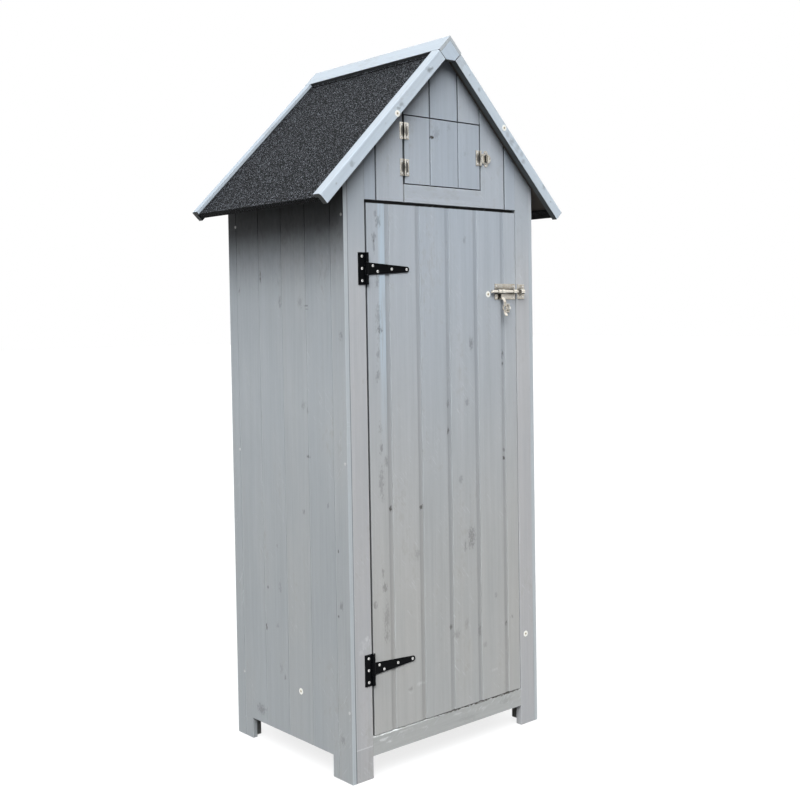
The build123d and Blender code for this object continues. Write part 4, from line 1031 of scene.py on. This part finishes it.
marker_paper = paper()
marker("marker_door", "door", "front", 144.6, 1129)
marker("marker_stile", "shed", "front", 265, 238)
marker("marker_barge_left", "shed", "verge", -167.7, 1545)
marker("marker_barge_right", "shed", "verge", 178.6, 1547)
marker("marker_wall", "shed", "left", -43, 172)

# %% [markdown]
# ## Stage
#
# The shed stands on a plain pale floor. To the camera the floor is white and still takes the shed's
# shadow; to the light that bounces off it, it is dark, so that it doesn't brighten the walls from
# below. Metal in an all white room looks like paper, so a grey card stands to the right of the
# camera, where only reflections can see it.


# %% Floor and card
def pale_floor():
    f = new_finish("pale_floor")
    grey = f.node("BsdfDiffuse", {}, {"Color": (0.05, 0.05, 0.05, 1)})
    lit = f.node("BsdfDiffuse", {}, {"Color": (0.85, 0.85, 0.85, 1)})
    white = f.node("Emission", {}, {"Color": (1, 1, 1, 1), "Strength": 1.0})
    pale = f.node("MixShader", {}, {0: 0.80, 1: lit, 2: white})
    return f.surface(f.node("MixShader", {}, {0: f.seen(), 1: grey, 2: pale}))


def grey_card():
    f = new_finish("grey_card")
    return f.surface(f.node("Emission", {}, {"Color": (0.52, 0.52, 0.52, 1), "Strength": 1.0}))


FLOOR_REACH = 40.0
bm = bmesh.new()
bmesh.ops.create_grid(bm, x_segments=4, y_segments=4, size=FLOOR_REACH)
ground = as_piece("ground", bm, pale_floor())

CARD_PLACE = (2.9, -3.3, 1.3)
CARD_SIZE = (1.6, 0.75, 1, 1)
bm = bmesh.new()
bmesh.ops.create_grid(bm, x_segments=1, y_segments=1, size=1.0)
facing = Vector((-0.68, 0.73, 0)).to_track_quat("Z", "Y").to_matrix().to_4x4()
stand = Matrix.Translation(CARD_PLACE) @ facing @ Matrix.Diagonal(CARD_SIZE)
bmesh.ops.transform(bm, matrix=stand, verts=bm.verts)
card = as_piece("grey_card", bm, grey_card())
card.visible_camera = card.visible_diffuse = card.visible_shadow = False
print("stage:", ground.name, "and", card.name)

# %% [markdown]
# ## Light
#
# The light is that of an overcast day: most of it falls from above in front, a lower glow lights
# the back and the right side, and the eaves are dark underneath. Lamps would do, but two soft patches
# of light on the world have no edges that could show in a shadow. What the camera, metal and glass
# see of the world is white.

# %% Sky
KEY_FROM = (-0.475, -0.495, 0.728)
FILL_FROM = (0.68, 0.68, 0.27)


def overcast():
    f = Recipe(bpy.data.worlds.new("overcast"))
    way = f.node("TexCoord", out="Generated")
    up = f.axes(way)[2]
    key = f.fade(up, 0.20, 0.60) * (f.fade(f.toward(way, KEY_FROM), 0.76, 1.0) * 9.1 + 0.28)
    fill = f.fade(up, 0.02, 0.25) * f.fade(f.toward(way, FILL_FROM), 0.70, 1.0) * 6.6
    sky = f.node("Background", {}, {"Color": (0.97, 0.99, 1.0, 1), "Strength": key + fill + 0.02})
    white = f.node("Background", {}, {"Color": (1, 1, 1, 1), "Strength": 1.0})
    return f.surface(f.node("MixShader", {}, {0: f.seen(), 1: sky, 2: white}), "World Output")


bpy.context.scene.world = overcast()
print("sky uses", len(bpy.context.scene.world.node_tree.nodes), "nodes")

# %% [markdown]
# ## Camera
#
# The camera stands where the photograph was taken from. Its place, its turn and its focal length
# were fitted to about twenty corners of the shed. The middle of the lens isn't the middle of the
# picture, so the lens is shifted by as much.

# %% Camera
PICTURE_PIXELS = 800
FOCAL_PIXELS = 1143.86
CENTRE_PIXELS = Vector((475.25, 356.30))
SENSOR_MM = 36
EYE = (-1.8604, -2.3405, 1.0746)
RIGHT = Vector((0.7300875, -0.6832158, -0.0137260))
DOWN = Vector((-0.0340856, -0.0163481, -0.9992852))
FORWARD = Vector((0.6825030, 0.7300335, -0.0352234))

eye = bpy.data.cameras.new("eye")
eye.lens = FOCAL_PIXELS / PICTURE_PIXELS * SENSOR_MM
eye.shift_x = 0.5 - CENTRE_PIXELS.x / PICTURE_PIXELS
eye.shift_y = CENTRE_PIXELS.y / PICTURE_PIXELS - 0.5
eye.clip_end = 200
camera = bpy.data.objects.new("eye", eye)
camera.matrix_world = Matrix.Translation(EYE) @ Matrix((RIGHT, -DOWN, -FORWARD)).transposed().to_4x4()
bpy.context.scene.collection.objects.link(camera)
bpy.context.scene.camera = camera
bpy.context.scene.view_settings.view_transform = "Standard"
print("lens", round(eye.lens, 2), "mm")
